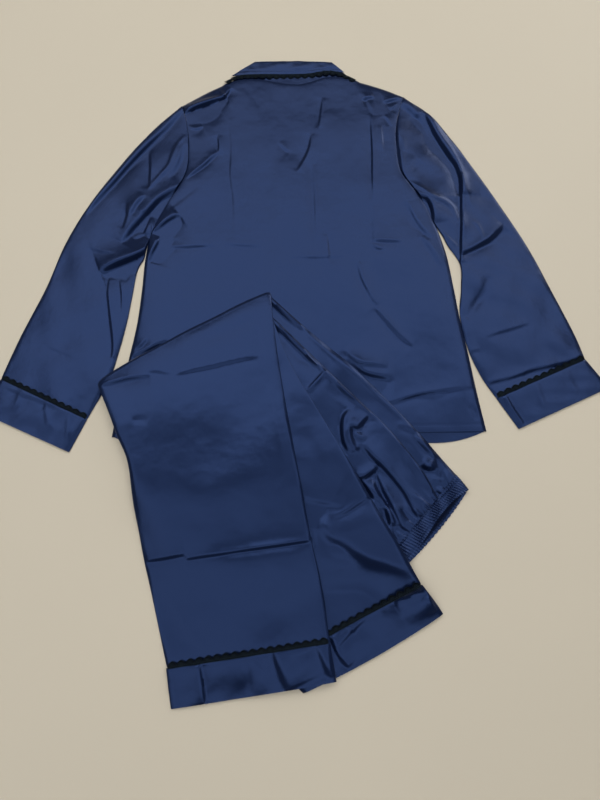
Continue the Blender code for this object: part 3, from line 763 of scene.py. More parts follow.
@dataclass
class Workroom:
    """Makes the meshes, lays them with their finish and hands them to the frame."""

    finishes: dict[str, bpy.types.Material]
    made: dict[str, Object] = field(default_factory=dict)
    bed: Bed = field(default_factory=Bed)

    def mesh(self, name: str, points: Grid, faces: list[Any], finish: str,
             grain: Optional[Grid] = None) -> Object:
        """Makes an object in the frame's metres.

        Args:
            name: its name.
            points: (x, y, z) in the layout.
            faces: their numbers, face by face.
            finish: the name of its material.
            grain: how far each point lies across and along the cloth.

        Returns:
            The object, its faces turned outwards.
        """
        mesh = bpy.data.meshes.new(name)
        mesh.from_pydata(to_frame(points).tolist(), [], [tuple(map(int, f)) for f in faces])
        kneaded = bmesh.new()
        kneaded.from_mesh(mesh)
        bmesh.ops.recalc_face_normals(kneaded, faces=kneaded.faces)
        kneaded.to_mesh(mesh)
        kneaded.free()
        if grain is not None:
            loops = np.empty(len(mesh.loops), np.int32)
            mesh.loops.foreach_get("vertex_index", loops)
            mesh.uv_layers.new(name="grain").data.foreach_set("uv", (grain[loops] * MM).ravel())
        mesh.materials.append(self.finishes[finish])
        mesh.shade_smooth()
        mesh.set_sharp_from_angle(angle=radians(55))
        self.made[name] = placed(name, mesh)
        return self.made[name]

    def tube(self, name: str, skin: Grid, lining: Grid, shaded_reverse: Optional[str] = None,
             lit_rows: int = 0) -> None:
        """Makes an open tube with a wall from its rings.

        Args:
            name: its name.
            skin: the rings of its outside.
            lining: the rings of its inside.
            shaded_reverse: the inside's own finish, the satin's dull reverse with its colour
                painted darker as shade.
            lit_rows: how many of the inside's last rows, lit at the mouth, keep the outside's
                finish and no painted shade.
        """
        outer, inner = skin.shape[:2], lining.shape[:2]
        base = skin[..., 0].size
        inside = ring_quads(*inner, base)
        faces = [*ring_quads(*outer, 0), *inside]
        start = len(faces) - len(inside)
        for end in (0, 1):
            first = end * (outer[0] - 1) * outer[1] + np.arange(outer[1])
            second = base + end * (inner[0] - 1) * inner[1] + np.arange(inner[1])
            faces += zipped(first, ring_places(outer[1]), second, ring_places(inner[1]))
        points = np.concatenate([skin.reshape(-1, 3), lining.reshape(-1, 3)])
        grain = np.concatenate([self.ring_grain(skin), self.ring_grain(lining)])
        made = self.mesh(name, points, faces, "satin", grain)
        # the inside's rows, all but the lit ones at the mouth, take the darker finish: painted
        # shade deep in the tube
        if shaded_reverse:
            slots = np.zeros(len(faces), np.int32)
            slots[start:start + len(inside) - lit_rows * inner[1]] = 1
            made.data.materials.append(self.finishes[shaded_reverse])
            made.data.polygons.foreach_set("material_index", slots)

    @staticmethod
    def ring_grain(rings: Grid) -> Grid:
        """How far each point of a tube's rings lies across and along its cloth."""
        nose, plies = len(NOSE_TURNS), ply_points(rings.shape[1])
        ply = np.linspace(0, 1, plies)
        shares = np.concatenate([ply, np.ones(nose), ply[::-1], np.zeros(nose)])
        return grain_of(rings, shares, plies - 1)

    def sheet(self, name: str, top: Grid, under: Grid, finish: str = "satin") -> Object:
        """Makes a panel from grids of its upper side and its underside."""
        base = top[..., 0].size
        faces = [*grid_quads(*top.shape[:2], 0), *grid_quads(*under.shape[:2], base)]
        faces += zipped(*border(*top.shape[:2], 0), *border(*under.shape[:2], base))
        points = np.concatenate([top.reshape(-1, 3), under.reshape(-1, 3)])
        grain = [grain_of(grid, np.linspace(0, 1, grid.shape[1]), -1) for grid in (top, under)]
        return self.mesh(name, points, faces, finish, np.concatenate(grain))

    def panel(self, name: str, plan: Grid, top: Grid, under: Grid) -> Grid:
        """Makes a panel from its plan and heights, lays it and returns its upper side."""
        skin = np.dstack([plan, top])
        self.sheet(name, skin, np.dstack([plan, under])[::LINING_STEP, ::LINING_STEP])
        self.bed.lay(skin)
        return skin

    def hand_over(self, piece: Object, node: Optional[str]) -> None:
        """Gives a piece to the frame, in place of a node where it stands for one."""
        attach(piece, "root")
        if node:
            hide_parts(node)
        LOG.info("%s: %d faces", piece.name, len(piece.data.polygons))

    def cloth(self, node: str) -> None:
        """Hands over a piece of cloth, in place of its node."""
        piece = self.made[f"cloth_{node}"]
        self.hand_over(piece, node)


# ---- what repeats: stitches and lace


class NodeMaker:
    """Adds nodes to a tree and fills their inputs."""

    tree: bpy.types.NodeTree

    def node(self, kind: str, settings: Optional[dict[str, Any]] = None,
             sockets: Optional[Sockets] = None) -> bpy.types.Node:
        """Adds a node.

        Args:
            kind: the node's type.
            settings: its properties, set first.
            sockets: values or links for its inputs.

        Returns:
            The node.
        """
        made = self.tree.nodes.new(kind)
        for key, value in (settings or {}).items():
            setattr(made, key, value)
        self.fill(made, sockets or {})
        return made

    def fill(self, made: bpy.types.Node, sockets: Sockets) -> None:
        """Sets or links a node's inputs."""
        for key, value in sockets.items():
            source = value.socket if isinstance(value, Value) else value
            if isinstance(source, Socket):
                self.tree.links.new(source, made.inputs[key])
            else:
                made.inputs[key].default_value = source


class NodeTree(NodeMaker):
    """A Geometry Nodes tree with named inputs that turns a route into realised geometry."""

    def __init__(self, name: str, inputs: dict[str, tuple[str, Any]]) -> None:
        """Makes the tree.

        Args:
            name: the tree's name.
            inputs: each named input's socket type and value.
        """
        self.tree = bpy.data.node_groups.new(name, "GeometryNodeTree")
        for way in ("INPUT", "OUTPUT"):
            self.tree.interface.new_socket("Geometry", in_out=way, socket_type="NodeSocketGeometry")
        self.values: dict[str, Any] = {}
        for label, (kind, value) in inputs.items():
            socket = self.tree.interface.new_socket(label, in_out="INPUT", socket_type=kind)
            self.values[socket.identifier] = value
        self.inputs = self.tree.nodes.new("NodeGroupInput").outputs

    def spread(self, curve: Socket, instance: Socket, scale: Socket) -> Socket:
        """Sets an instance on each point of a curve, turned along it.

        Args:
            curve: the curve.
            instance: the geometry of one instance.
            scale: how it is scaled.

        Returns:
            The instances.
        """
        tangent = self.node("GeometryNodeInputTangent")
        turned = self.node("FunctionNodeAlignRotationToVector", {"axis": "X"},
                           {"Vector": tangent.outputs[0]})
        return self.node("GeometryNodeInstanceOnPoints", sockets={
            "Points": curve, "Instance": instance, "Rotation": turned.outputs[0],
            "Scale": scale}).outputs[0]

    def run(self, carrier: Object, result: Socket, finish: bpy.types.Material,
            name: str) -> Object:
        """Ends the tree, runs it on an object and keeps the plain mesh.

        Args:
            carrier: the object that it runs on, which is removed.
            result: the geometry to keep.
            finish: the material of what the tree makes.
            name: the new object's name.

        Returns:
            The new object.
        """
        real = self.node("GeometryNodeRealizeInstances", sockets={0: result})
        dressed = self.node("GeometryNodeSetMaterial",
                            sockets={"Geometry": real.outputs[0], "Material": finish})
        self.node("NodeGroupOutput", sockets={0: dressed.outputs[0]})
        modifier = carrier.modifiers.new("work", "NODES")
        modifier.node_group = self.tree
        for identifier, value in self.values.items():
            modifier[identifier] = value
        graph = bpy.context.evaluated_depsgraph_get()
        mesh = bpy.data.meshes.new_from_object(carrier.evaluated_get(graph), depsgraph=graph)
        carrier.modifiers.remove(modifier)
        bpy.data.objects.remove(carrier)
        mesh.name = name
        if not mesh.materials:
            mesh.materials.append(finish)
        return placed(name, mesh)


def route_curve(name: str, routes: Sequence[Grid]) -> Object:
    """A curve object with one open spline a route.

    Args:
        name: its name.
        routes: (x, y, z) points in the layout, route by route.

    Returns:
        The curve, in the frame's metres.
    """
    curve = bpy.data.curves.new(name, "CURVE")
    curve.dimensions = "3D"
    for route in routes:
        spline = curve.splines.new("POLY")
        spline.points.add(len(route) - 1)
        weighted = np.column_stack([to_frame(route), np.ones(len(route))])
        spline.points.foreach_set("co", weighted.ravel())
    return placed(name, curve)


@dataclass(frozen=True)
class Stitching:
    """Rows of machine stitches."""

    pitch: float = 2.9
    length: float = 2.3
    thread: float = 0.34
    seed: int = 4

    def sew(self, room: Workroom, name: str, routes: Sequence[Grid]) -> None:
        """Sews along routes that lie on the cloth.

        Args:
            room: the workroom.
            name: the new piece's name.
            routes: (x, y, z) points, route by route.
        """
        half = (self.length * MM / 2, self.thread * MM / 2, self.thread * MM / 2.6)
        tree = NodeTree(name, {"Pitch": ("NodeSocketFloat", self.pitch * MM),
                               "Stitch": ("NodeSocketVector", half),
                               "Seed": ("NodeSocketInt", self.seed)})
        spaced = tree.node("GeometryNodeResampleCurve", {"mode": "LENGTH"},
                           {"Curve": tree.inputs["Geometry"], "Length": tree.inputs["Pitch"]})
        bead = tree.node("GeometryNodeMeshUVSphere",
                         sockets={"Segments": 6, "Rings": 5, "Radius": 1.0})
        uneven = tree.node("FunctionNodeRandomValue", {"data_type": "FLOAT_VECTOR"},
                           {0: (0.88, 0.9, 0.9), 1: (1.04, 1.1, 1.1), "Seed": tree.inputs["Seed"]})
        scale = tree.node("ShaderNodeVectorMath", {"operation": "MULTIPLY"},
                          {0: tree.inputs["Stitch"], 1: uneven.outputs[0]})
        rows = tree.spread(spaced.outputs[0], bead.outputs["Mesh"], scale.outputs[0])
        made = tree.run(route_curve(name, routes), rows, room.finishes["thread"], name)
        made.data.shade_smooth()
        room.made[name] = made


@dataclass(frozen=True)
class Lace:
    """A scalloped strip of cord lace on a net, sewn along a seam."""

    width: float = 7.4
    scallop: float = 3.6
    pitch: float = 12.8
    overlap: float = 1.5
    ends_in: float = 2.5
    cord: float = 0.62
    thickness: float = 0.45
    net_cell: float = 1.5
    net_thickness: float = 0.28
    clear: float = 0.2  # gap between the net and the cloth
    rails: Point = (-1.1, 0.924)  # how far out from the seam each of them lies
    bars: int = 5
    bar: Point = (0.15, 0.7)  # where a bar starts in its bay, and how far on it ends
    arches: Line = ((0.4, 0.0), (2.5, 0.17))  # how far in from the edge, and from its ends
    ray_ends: Line = ((1.5, 1.5), (3.4, 3.6))  # along and across, from the scallop's middle
    ring: Point = (1.2, 1.1)  # its radii
    crown: float = 0.6  # a cord's upper width as a share of its lower one
    crossing: float = 0.02  # how much higher each of three cords in turn lies
    rays: tuple[int, ...] = (32, 62, 90, 118, 148)
    roundness: float = 0.7  # the power that rounds the scallops

    def strokes(self) -> list[Grid]:
        """The cords of one scallop: two rails, their bars, two arches, rays and a ring."""
        p, (foot, head), (start, run) = self.pitch, self.rails, self.bar
        made = [np.array([(x, y) for x in np.linspace(0, p, 5)]) for y in self.rails]
        for x in p * (np.arange(self.bars) + start) / self.bars:
            made.append(np.array([(x, foot), (x + p * run / self.bars, head)]))
        t = np.linspace(0, 1, 9)
        for drop, inset in self.arches:
            arch = head + (self.width - drop - head) * np.sin(pi * t) ** self.roundness
            made.append(np.column_stack([p * (inset + (1 - 2 * inset) * t), arch]))
        for ray in self.rays:
            way = np.array((cos(radians(ray)), sin(radians(ray))))
            made.append(np.array((p / 2, head)) + way * self.ray_ends)
        turn, (wide, high) = 2 * pi * t, self.ring
        level = head + wide + high * np.sin(turn)
        made.append(np.column_stack([p / 2 + wide * np.cos(turn), level]))
        return made

    def motif(self, room: Workroom) -> Object:
        """One scallop's cords as a mesh, its straight edge on the X axis."""
        points: list[tuple[float, ...]] = []
        faces: list[tuple[int, ...]] = []
        around = range(4)
        for k, stroke in enumerate(self.strokes()):
            base, last, lift = len(points), 4 * (len(stroke) - 1), self.crossing * (k % 3)
            high = self.thickness + lift
            for at, out in zip(stroke, squares(stroke) * self.cord / 2):
                corners = ((-1.0, lift), (-self.crown, high), (self.crown, high), (1.0, lift))
                points += [(*(at + way * out), level) for way, level in corners]
            for a in range(base, base + last, 4):
                faces += [(a + j, a + (j + 1) % 4, a + 4 + (j + 1) % 4, a + 4 + j) for j in around]
            faces += [tuple(end + j for j in around) for end in (base, base + last)]
        return room.mesh("lace motif", np.array(points) + LAYOUT_ORIGIN, faces, "lace cord")

    def cords(self, room: Workroom, name: str, line: Grid, length: float, count: int) -> Object:
        """The cords of all scallops, along a line and over what lies there."""
        motif = self.motif(room)
        strip = route_curve(name, [np.column_stack([line, np.zeros(len(line))])])
        end = self.ends_in + length * (1 - 1 / count)
        tree = NodeTree(name, {
            "Start": ("NodeSocketFloat", self.ends_in * MM), "End": ("NodeSocketFloat", end * MM),
            "Scallops": ("NodeSocketInt", count),
            "Stretch": ("NodeSocketVector", (length / count / self.pitch, 1.0, 1.0)),
            "Motif": ("NodeSocketObject", motif)})
        cut = tree.node("GeometryNodeTrimCurve", {"mode": "LENGTH"}, {
            "Curve": tree.inputs["Geometry"], 4: tree.inputs["Start"], 5: tree.inputs["End"]})
        spaced = tree.node("GeometryNodeResampleCurve", {"mode": "COUNT"},
                           {"Curve": cut.outputs[0], "Count": tree.inputs["Scallops"]})
        source = tree.node("GeometryNodeObjectInfo", sockets={"Object": tree.inputs["Motif"]})
        rows = tree.spread(spaced.outputs[0], source.outputs["Geometry"], tree.inputs["Stretch"])
        made = tree.run(strip, rows, room.finishes["lace cord"], f"{name} cords")
        bpy.data.objects.remove(motif)
        del room.made["lace motif"]
        points = mesh_points(made) / MM + LAYOUT_ORIGIN
        points[:, 2] += room.bed.rest(points[:, :2], 1, self.clear) + CORD_LIFT
        made.data.vertices.foreach_set("co", to_frame(points).ravel())
        return made

    def net(self, room: Workroom, name: str, route: Grid, along: Grid, length: float,
            count: int) -> Object:
        """The net that the cords lie on, with a scalloped edge."""
        columns = 10 * count
        at = self.ends_in + length * np.linspace(0, 1, columns + 1)
        line = np.column_stack([np.interp(at, along, route[:, k]) for k in (0, 1)])
        bump = np.abs(np.sin(pi * np.linspace(0, count, columns + 1))) ** self.roundness
        reach = self.width - 0.5 - self.scallop * (1 - bump)
        away = -self.overlap + np.linspace(0, 1, 9)[:, None] * (reach + self.overlap)
        plan = line[None] + away[..., None] * squares(line)[None]
        height = room.bed.rest(plan, 1, self.clear)
        top, under = (np.dstack([plan, level]) for level in (height + self.net_thickness, height))
        return room.sheet(name, top, under, "lace net")

    def sew(self, room: Workroom, name: str, route: Grid, side: int) -> None:
        """Lays the lace along a route, over what lies there.

        Args:
            room: the workroom.
            name: the new piece's name.
            route: (x, y) points of the seam.
            side: 1 if the scallops stand to the left of the route, else -1.
        """
        route = resample(route, distances(route), 120)
        along = distances(route)
        route = route[::side]
        length = along[-1] - 2 * self.ends_in
        count = round(length / self.pitch)
        line = resample(route, along, 200)
        cords = self.cords(room, name, line, length, count)
        net = self.net(room, name, route, along, length, count)
        whole = bmesh.new()
        whole.from_mesh(net.data)
        start = len(whole.faces)
        whole.from_mesh(cords.data)
        whole.faces.ensure_lookup_table()
        for face in whole.faces[start:]:
            face.material_index = 1
        whole.to_mesh(net.data)
        whole.free()
        net.data.materials.append(room.finishes["lace cord"])
        bpy.data.objects.remove(cords)


# ---- finishes


class Value:
    """A shader socket that takes part in Python sums."""

    def __init__(self, recipe: "Recipe", socket: Socket) -> None:
        """Wraps a number's socket."""
        self.recipe, self.socket = recipe, socket

    def _math(self, operation: str, first: Any, second: Any) -> "Value":
        """Adds one Math node."""
        made = self.recipe.node("ShaderNodeMath", {"operation": operation}, {0: first, 1: second})
        return Value(self.recipe, made.outputs[0])

    def __add__(self, other: Any) -> "Value":
        """The sum."""
        return self._math("ADD", self, other)

    __radd__ = __add__

    def __sub__(self, other: Any) -> "Value":
        """The difference."""
        return self._math("SUBTRACT", self, other)

    def __rsub__(self, other: Any) -> "Value":
        """The difference from a number."""
        return self._math("SUBTRACT", other, self)

    def __mul__(self, other: Any) -> "Value":
        """The product."""
        return self._math("MULTIPLY", self, other)

    def over(self, limit: float, soft: float) -> "Value":
        """0 below the limit and 1 above it, with a soft step."""
        made = self.recipe.node("ShaderNodeMapRange", {"interpolation_type": "SMOOTHSTEP"},
                                {"Value": self, "From Min": limit - soft, "From Max": limit + soft})
        return Value(self.recipe, made.outputs["Result"])


class Recipe(NodeMaker):
    """A material in the making."""

    def __init__(self, name: str) -> None:
        """Starts a material with its shader."""
        self.material = bpy.data.materials.new(name)
        self.material.use_nodes = True
        self.tree = self.material.node_tree
        self.tree.nodes.clear()
        self.shader = self.node("ShaderNodeBsdfPrincipled")
        self.node("ShaderNodeOutputMaterial", sockets={"Surface": self.shader.outputs[0]})

    def place(self) -> Socket:
        """Coordinates in the object's own space."""
        return self.node("ShaderNodeTexCoord").outputs["Object"]

    def grain(self) -> Socket:
        """Coordinates across and along the cloth."""
        return self.node("ShaderNodeUVMap", {"uv_map": "grain"}).outputs[0]

    def scaled(self, source: Socket, scale: Triple, turn: float = 0.0) -> Socket:
        """Coordinates stretched by a scale and turned about Z."""
        return self.node("ShaderNodeMapping", sockets={
            "Vector": source, "Scale": scale, "Rotation": (0.0, 0.0, radians(turn))}).outputs[0]

    def noise(self, source: Socket, scale: float, detail: float = 2.0,
              rough: float = 0.5) -> Value:
        """Noise on these coordinates, about 0.5."""
        made = self.node("ShaderNodeTexNoise", sockets={
            "Vector": source, "Scale": scale, "Detail": detail, "Roughness": rough})
        return Value(self, made.outputs["Fac"])

    def twist(self, place: Socket, fineness: float, turn: float) -> Value:
        """The twist of a yarn: noise drawn out along a slant."""
        return self.noise(self.scaled(place, (fineness, fineness, 900.0), turn), 1.0, 1.0)

    def blend(self, share: Any, low: Triple, high: Triple) -> Socket:
        """A colour between two."""
        made = self.node("ShaderNodeMix", {"data_type": "RGBA"},
                         {0: share, 6: (*low, 1.0), 7: (*high, 1.0)})
        return made.outputs[2]

    def bump(self, height: Any, distance: float, below: Optional[Socket] = None) -> Socket:
        """A relief of this height, in metres, on top of another."""
        sockets = {"Height": height, "Distance": distance, "Strength": 1.0}
        if below is not None:
            sockets["Normal"] = below
        return self.node("ShaderNodeBump", sockets=sockets).outputs[0]

    def finish(self, sockets: dict[str, Any]) -> bpy.types.Material:
        """Sets the shader's inputs and returns the material."""
        self.fill(self.shader, sockets)
        return self.material


@dataclass(frozen=True)
class Satin:
    """Navy satin: long floats that shine along the warp, slubs and a soft watery unevenness."""

    dark: Triple = (0.0026, 0.0056, 0.0200)
    light: Triple = (0.0038, 0.0078, 0.0265)
    roughness: float = 0.25
    float_pitch: float = 0.00028
    float_length: float = 0.0024
    sheen: float = 0.08
    shine: float = 0.68
    shine_tint: Triple = (0.210, 0.378, 1.0)

    def make(self, name: str) -> bpy.types.Material:
        """Makes the material."""
        recipe = Recipe(name)
        grain, place = recipe.grain(), recipe.place()
        fine, long = 1 / self.float_pitch, 1 / self.float_length
        threads = ((fine, long, 1.0), (long, 0.6 * fine, 0.0), (1400.0, 55.0, 2.0))
        floats, weft, slubs = (recipe.noise(recipe.scaled(grain, (across, along, 1.0)), 1.0, detail)
                               for across, along, detail in threads)
        water = recipe.noise(place, 38.0, 2.0, 0.45)
        tone = recipe.noise(place, 9.0, 3.0, 0.55)
        weave = floats * 0.7 + weft * 0.3
        relief = recipe.bump(water, 0.0008)
        relief = recipe.bump(slubs, 0.00010, below=relief)
        relief = recipe.bump(weave, 0.00005, below=relief)
        share = tone * 0.9 + weave * 0.35 + slubs * 0.2 - 0.25
        return recipe.finish({
            "Base Color": recipe.blend(share, self.dark, self.light),
            "Roughness": self.roughness - 0.04 + tone * 0.08,
            "Sheen Weight": self.sheen, "Sheen Roughness": 0.4,
            "Sheen Tint": (0.22, 0.38, 1.0, 1.0), "Specular IOR Level": self.shine,
            "Specular Tint": (*self.shine_tint, 1.0), "Normal": relief})


@dataclass(frozen=True)
class LaceYarn:
    """Near-black lace: cords of twisted yarn, and the net under them."""

    dark: Triple = (0.0012, 0.0020, 0.0045)
    light: Triple = (0.0150, 0.0230, 0.0290)

    def make_cord(self, name: str) -> bpy.types.Material:
        """Makes the material of the cords."""
        recipe = Recipe(name)
        place = recipe.place()
        twist = recipe.twist(place, 2600.0, 30.0)
        tone = recipe.noise(place, 160.0, 2.0)
        return recipe.finish({
            "Base Color": recipe.blend(tone * 0.8 + twist * 0.5 - 0.2, self.dark, self.light),
            "Roughness": 0.62 + twist * 0.15, "Specular IOR Level": 0.16,
            "Specular Tint": (0.45, 0.7, 1.0, 1.0), "Normal": recipe.bump(twist, 0.00012)})

    def make_net(self, name: str, cell: float) -> bpy.types.Material:
        """Makes the material of the net, with open cells of this size."""
        recipe = Recipe(name)
        mesh = recipe.node("ShaderNodeTexVoronoi",
                           {"feature": "DISTANCE_TO_EDGE", "voronoi_dimensions": "2D"},
                           {"Vector": recipe.grain(), "Scale": 1 / cell, "Randomness": 0.35})
        hole = Value(recipe, mesh.outputs["Distance"]).over(0.24, 0.05)
        return recipe.finish({
            "Base Color": (*self.dark, 1.0), "Roughness": 0.75, "Specular IOR Level": 0.05,
            "Alpha": 1 - hole * 0.35})


@dataclass(frozen=True)
class Thread:
    """Sewing thread, a shade lighter than the satin."""

    dark: Triple = (0.006, 0.011, 0.034)
    light: Triple = (0.014, 0.023, 0.060)

    def make(self, name: str) -> bpy.types.Material:
        """Makes the material."""
        recipe = Recipe(name)
        twist = recipe.twist(recipe.place(), 3000.0, 40.0)
        return recipe.finish({
            "Base Color": recipe.blend(twist, self.dark, self.light),
            "Roughness": 0.5 + twist * 0.1, "Specular IOR Level": 0.3,
            "Specular Tint": (0.3, 0.5, 1.0, 1.0), "Normal": recipe.bump(twist, 0.00008)})


@dataclass(frozen=True)
class Floor:
    """The plain pale floor."""

    colour: Triple = (0.55, 0.495, 0.395)
    size: float = 12.0

    def build(self) -> None:
        """Makes the floor a little below the cloth."""
        recipe = Recipe("floor")
        tone = recipe.noise(recipe.place(), 3.0, 3.0)
        light = tuple(1.06 * part for part in self.colour)
        material = recipe.finish({"Base Color": recipe.blend(tone, self.colour, light),
                                  "Roughness": 0.55 + tone * 0.1})
        mesh = bpy.data.meshes.new("floor")
        corners = ((-1, -1), (1, -1), (1, 1), (-1, 1))
        reach, level = self.size / 2, -0.4 * MM
        mesh.from_pydata([(x * reach, y * reach, level) for x, y in corners], [], [(0, 1, 2, 3)])
        mesh.materials.append(material)
        placed("floor", mesh)


# ---- the jacket


# A step whose route runs right or down turns its steep flank down or left, away from the light.
BACK_CREASES = (
    step(0.8, 3.0, 158, 246, 185, 247.5, 214, 246),
    step(0.5, 3.0, 225, 244.5, 245, 246, 262, 246.5),
    step(0.5, 3.5, 289, 258, 318, 258, 345, 256.5), step(1.0, 3.0, 372, 241, 388, 241.5, 402, 242),
    step(0.8, 3.0, 371, 245, 378, 249, 384, 249),
    step(0.7, 3.4, 229, 118, 231, 150, 230, 174, 233, 200, 234, 238),
    step(1.8, 2.8, 186, 179, 197, 171, 205, 165, 212, 158, 219, 152),
    step(1.2, 2.8, 217.5, 136, 218.5, 145, 218, 154),
    step(1.1, 3.0, 322, 98, 320.5, 112, 318.5, 128),
    step(1.6, 3.6, 311, 134, 308, 150, 299, 168, 297, 172),
    step(0.8, 2.8, 279, 143, 284, 149, 290, 153), step(1.1, 3.4, 312, 165, 314.5, 200, 315.5, 240),
    step(1.7, 3.0, 370, 116, 371.8, 150, 372, 175, 372.5, 200),
    step(0.6, 3.0, 372.5, 205, 373, 235, 374, 265),
    step(-0.7, 2.8, 381.5, 126, 382.5, 137, 383.5, 150),
    step(0.7, 3.5, 362, 94, 368, 104, 373, 116), step(1.4, 3.2, 362, 100.5, 368, 98.5, 374, 97.5),
    step(1.0, 3.0, 384, 116, 388, 121, 390, 126), step(2.2, 3.4, 384, 103, 395, 99.5, 406, 98),
    step(1.8, 3.0, 391, 110, 395, 106.5, 399, 103), step(-1.0, 2.8, 327, 234, 328.5, 247, 330, 264),
    step(1.6, 3.0, 357, 262, 361, 278, 369, 294, 376, 306),
    step(2.5, 3.0, 375, 308, 388, 324, 399, 336, 412, 347),
    step(2.2, 4.0, 343, 350, 352, 359, 361, 364.5, 374, 366, 388, 367),
    step(5.0, 8.0, 344, 358, 355, 367, 366, 375, 379, 378, 394, 379, ends=0.9),
    step(2.0, 3.2, 386, 404, 398, 401.5, 410, 397.5, 425, 394, 445, 391, 464, 388.5),
    step(0.5, 3.0, 464, 389, 472, 387.5, 479, 388), ridge(-1.0, 4.0, 470, 405, 475, 413, 476, 420),
    step(8.0, 9.0, 160, 120, 183, 114, 200, 108, 213, 103, 227, 97.5, taper=0.35, ends=0.4),
    step(1.8, 2.8, 223, 100, 227, 95, 231, 89), step(1.8, 4.0, 200, 115, 209, 112, 218, 107),
    step(1.2, 2.6, 217, 91, 221, 95, 224.5, 99),
    step(1.6, 3.6, 184, 123, 190, 128, 196, 129.5, 203, 127),
    step(1.1, 2.8, 134, 349, 140, 347, 144, 343, 147.5, 338),
    step(2.1, 4.0, 130, 358, 148, 350, 158, 345, 168, 341),
    step(5.6, 6.6, 152, 233, 160, 228, 168, 222, 179, 215, ends=0.5),
    step(-0.5, 6.0, 166, 214, 175, 206, 188, 197, 200, 187),
    step(4.5, 5.4, 149, 262, 153, 253, 158, 244, 162, 235, ends=0.5),
    step(1.8, 4.4, 407, 202, 413, 216, 421, 228, 431, 238),
    step(1.4, 4.4, 421, 237, 431, 250, 440, 266),
)
SLEEVE_LEFT_CREASES = (
    step(3.2, 4.4, 86, 214, 100, 198, 112, 184.5, 130, 164, 152, 141.5, 166, 128, 184, 109,
         taper=1.3),
    ridge(1.8, 3.6, 147, 191, 153, 184, 161, 175, 169, 166, 173, 156, 178, 144, 186, 135),
    step(2.0, 4.5, 170, 178, 179, 161, 183, 145),
    step(1.8, 2.6, 149.5, 150, 150, 168, 149, 189, taper=1.4),
    step(2.0, 4.5, 131, 216, 137, 205, 145, 196), step(1.2, 2.8, 128, 204, 127, 216, 123, 229),
    step(5.4, 6.5, 122, 243, 132, 230, 142, 220, 150, 211, 160, 200, 170, 193, 182, 186),
    step(3.5, 5.0, 149, 213, 147, 222, 143, 233, ends=0.5),
    ridge(1.2, 2.8, 151, 216, 152.5, 228, 151, 241), step(1.0, 2.6, 162, 204, 171, 196, 179, 188),
    ridge(-1.4, 4.0, 132, 240, 139, 238, 146, 234),
    step(7.6, 8.6, 100, 272, 112, 267.5, 124, 263, 136, 258, 147, 251, 154, 242, ends=0.5,
         taper=0.5),
    step(1.2, 3.0, 109, 276, 107.6, 290, 109.5, 315, 112.3, 342, 111.5, 358, ends=0.3),
    step(0.8, 2.8, 119, 279, 121, 295, 121, 313), step(-0.5, 4.0, 126, 282, 129, 273, 130, 265),
    step(-0.4, 4.0, 117, 279, 118, 268), step(0.7, 2.8, 88, 248, 100, 252, 115, 255),
    step(0.35, 2.8, 44, 345, 60, 352, 76, 358.5),
)
SLEEVE_RIGHT_CREASES = (
    step(2.2, 4.0, 399, 106, 397, 122, 397.5, 140, 400, 158, 404, 180),
    step(2.2, 6.0, 399, 103, 410, 110, 420, 120, 427, 131),
    step(1.3, 2.6, 424, 125, 430, 138, 438, 153),
    step(5.0, 7.6, 424, 113, 433, 131, 441, 145, 449, 157, 456, 167, 459.5, 179, 461, 195,
         ends=0.3, taper=0.7), step(2.6, 3.4, 460, 174, 461, 200, 461, 230, 460.5, 262, ends=0.25),
    ridge(0.8, 4.0, 437, 130, 446, 144, 455, 159, 462, 176, 467, 192, 472, 208),
    ridge(0.8, 2.8, 471, 221, 477, 224, 481, 232, 483, 240),
    ridge(2.2, 4.0, 405, 181, 414, 184, 424, 190, 434, 197, 446, 202, 454, 209, 460, 224,
         taper=1.4), step(4.6, 5.0, 413, 194, 421, 197, 427, 200, 431, 208, 434, 222, ends=0.4),
    ridge(0.8, 2.6, 442, 231, 451, 240, 460, 248),
    step(3.4, 3.0, 459, 255, 470, 250.5, 481, 245, 491, 239, 504, 226, taper=2.3),
    step(1.0, 2.8, 401, 137, 402, 145, 402, 152), step(1.0, 2.8, 410, 169, 413, 164, 416.5, 158),
    ridge(-2.6, 8.0, 489, 276, 485, 290, 477, 303, 467, 319),
    step(1.0, 2.8, 487, 337, 500, 332.7, 516, 328, 530, 323.5),
    step(0.6, 2.8, 470, 352, 475, 351, 480, 349.5),
    step(1.7, 2.8, 487, 384, 502, 380, 511, 378, 523, 374, 532, 370.5, 552, 366, 573, 360.5, 585,
         355, ends=0.15),
)
CUFF_LEFT_CREASES = (
    step(0.5, 2.4, 4, 387, 22, 395, 40, 401, 60, 410), ridge(0.9, 3.6, 45, 404, 47, 416, 50, 430),
    ridge(0.8, 3.4, 69, 416, 68, 428, 67, 440), step(0.5, 2.6, 43, 401, 45, 405, 46, 409),
    ridge(0.7, 3.4, 20, 392, 17, 402, 14, 412), ridge(0.6, 3.6, 83, 420, 82, 432, 80, 442),
)
CUFF_RIGHT_CREASES = (
    step(1.0, 2.4, 503, 396, 507, 403, 513, 413, 521, 424, ends=0.2),
    step(-0.8, 2.4, 506.5, 395, 510, 402, 516, 412, 524, 423, ends=0.2),
    ridge(0.6, 5.0, 536, 384, 541, 398, 546, 410), ridge(0.5, 5.0, 566, 372, 572, 384, 577, 396),
)


@dataclass(frozen=True)
class Hem:
    """How a turned hem draws the cloth down, at its row of stitches and at its edge."""

    stitches: float  # how far in from the edge they lie
    width: float
    depth: float
    edge_width: float
    edge_depth: float

    def dip(self, below: Grid) -> Grid:
        """How far it draws down cloth that lies this far in from the edge."""
        return (bell(below - self.stitches, self.width) * self.depth
                + bell(below, self.edge_width) * self.edge_depth)


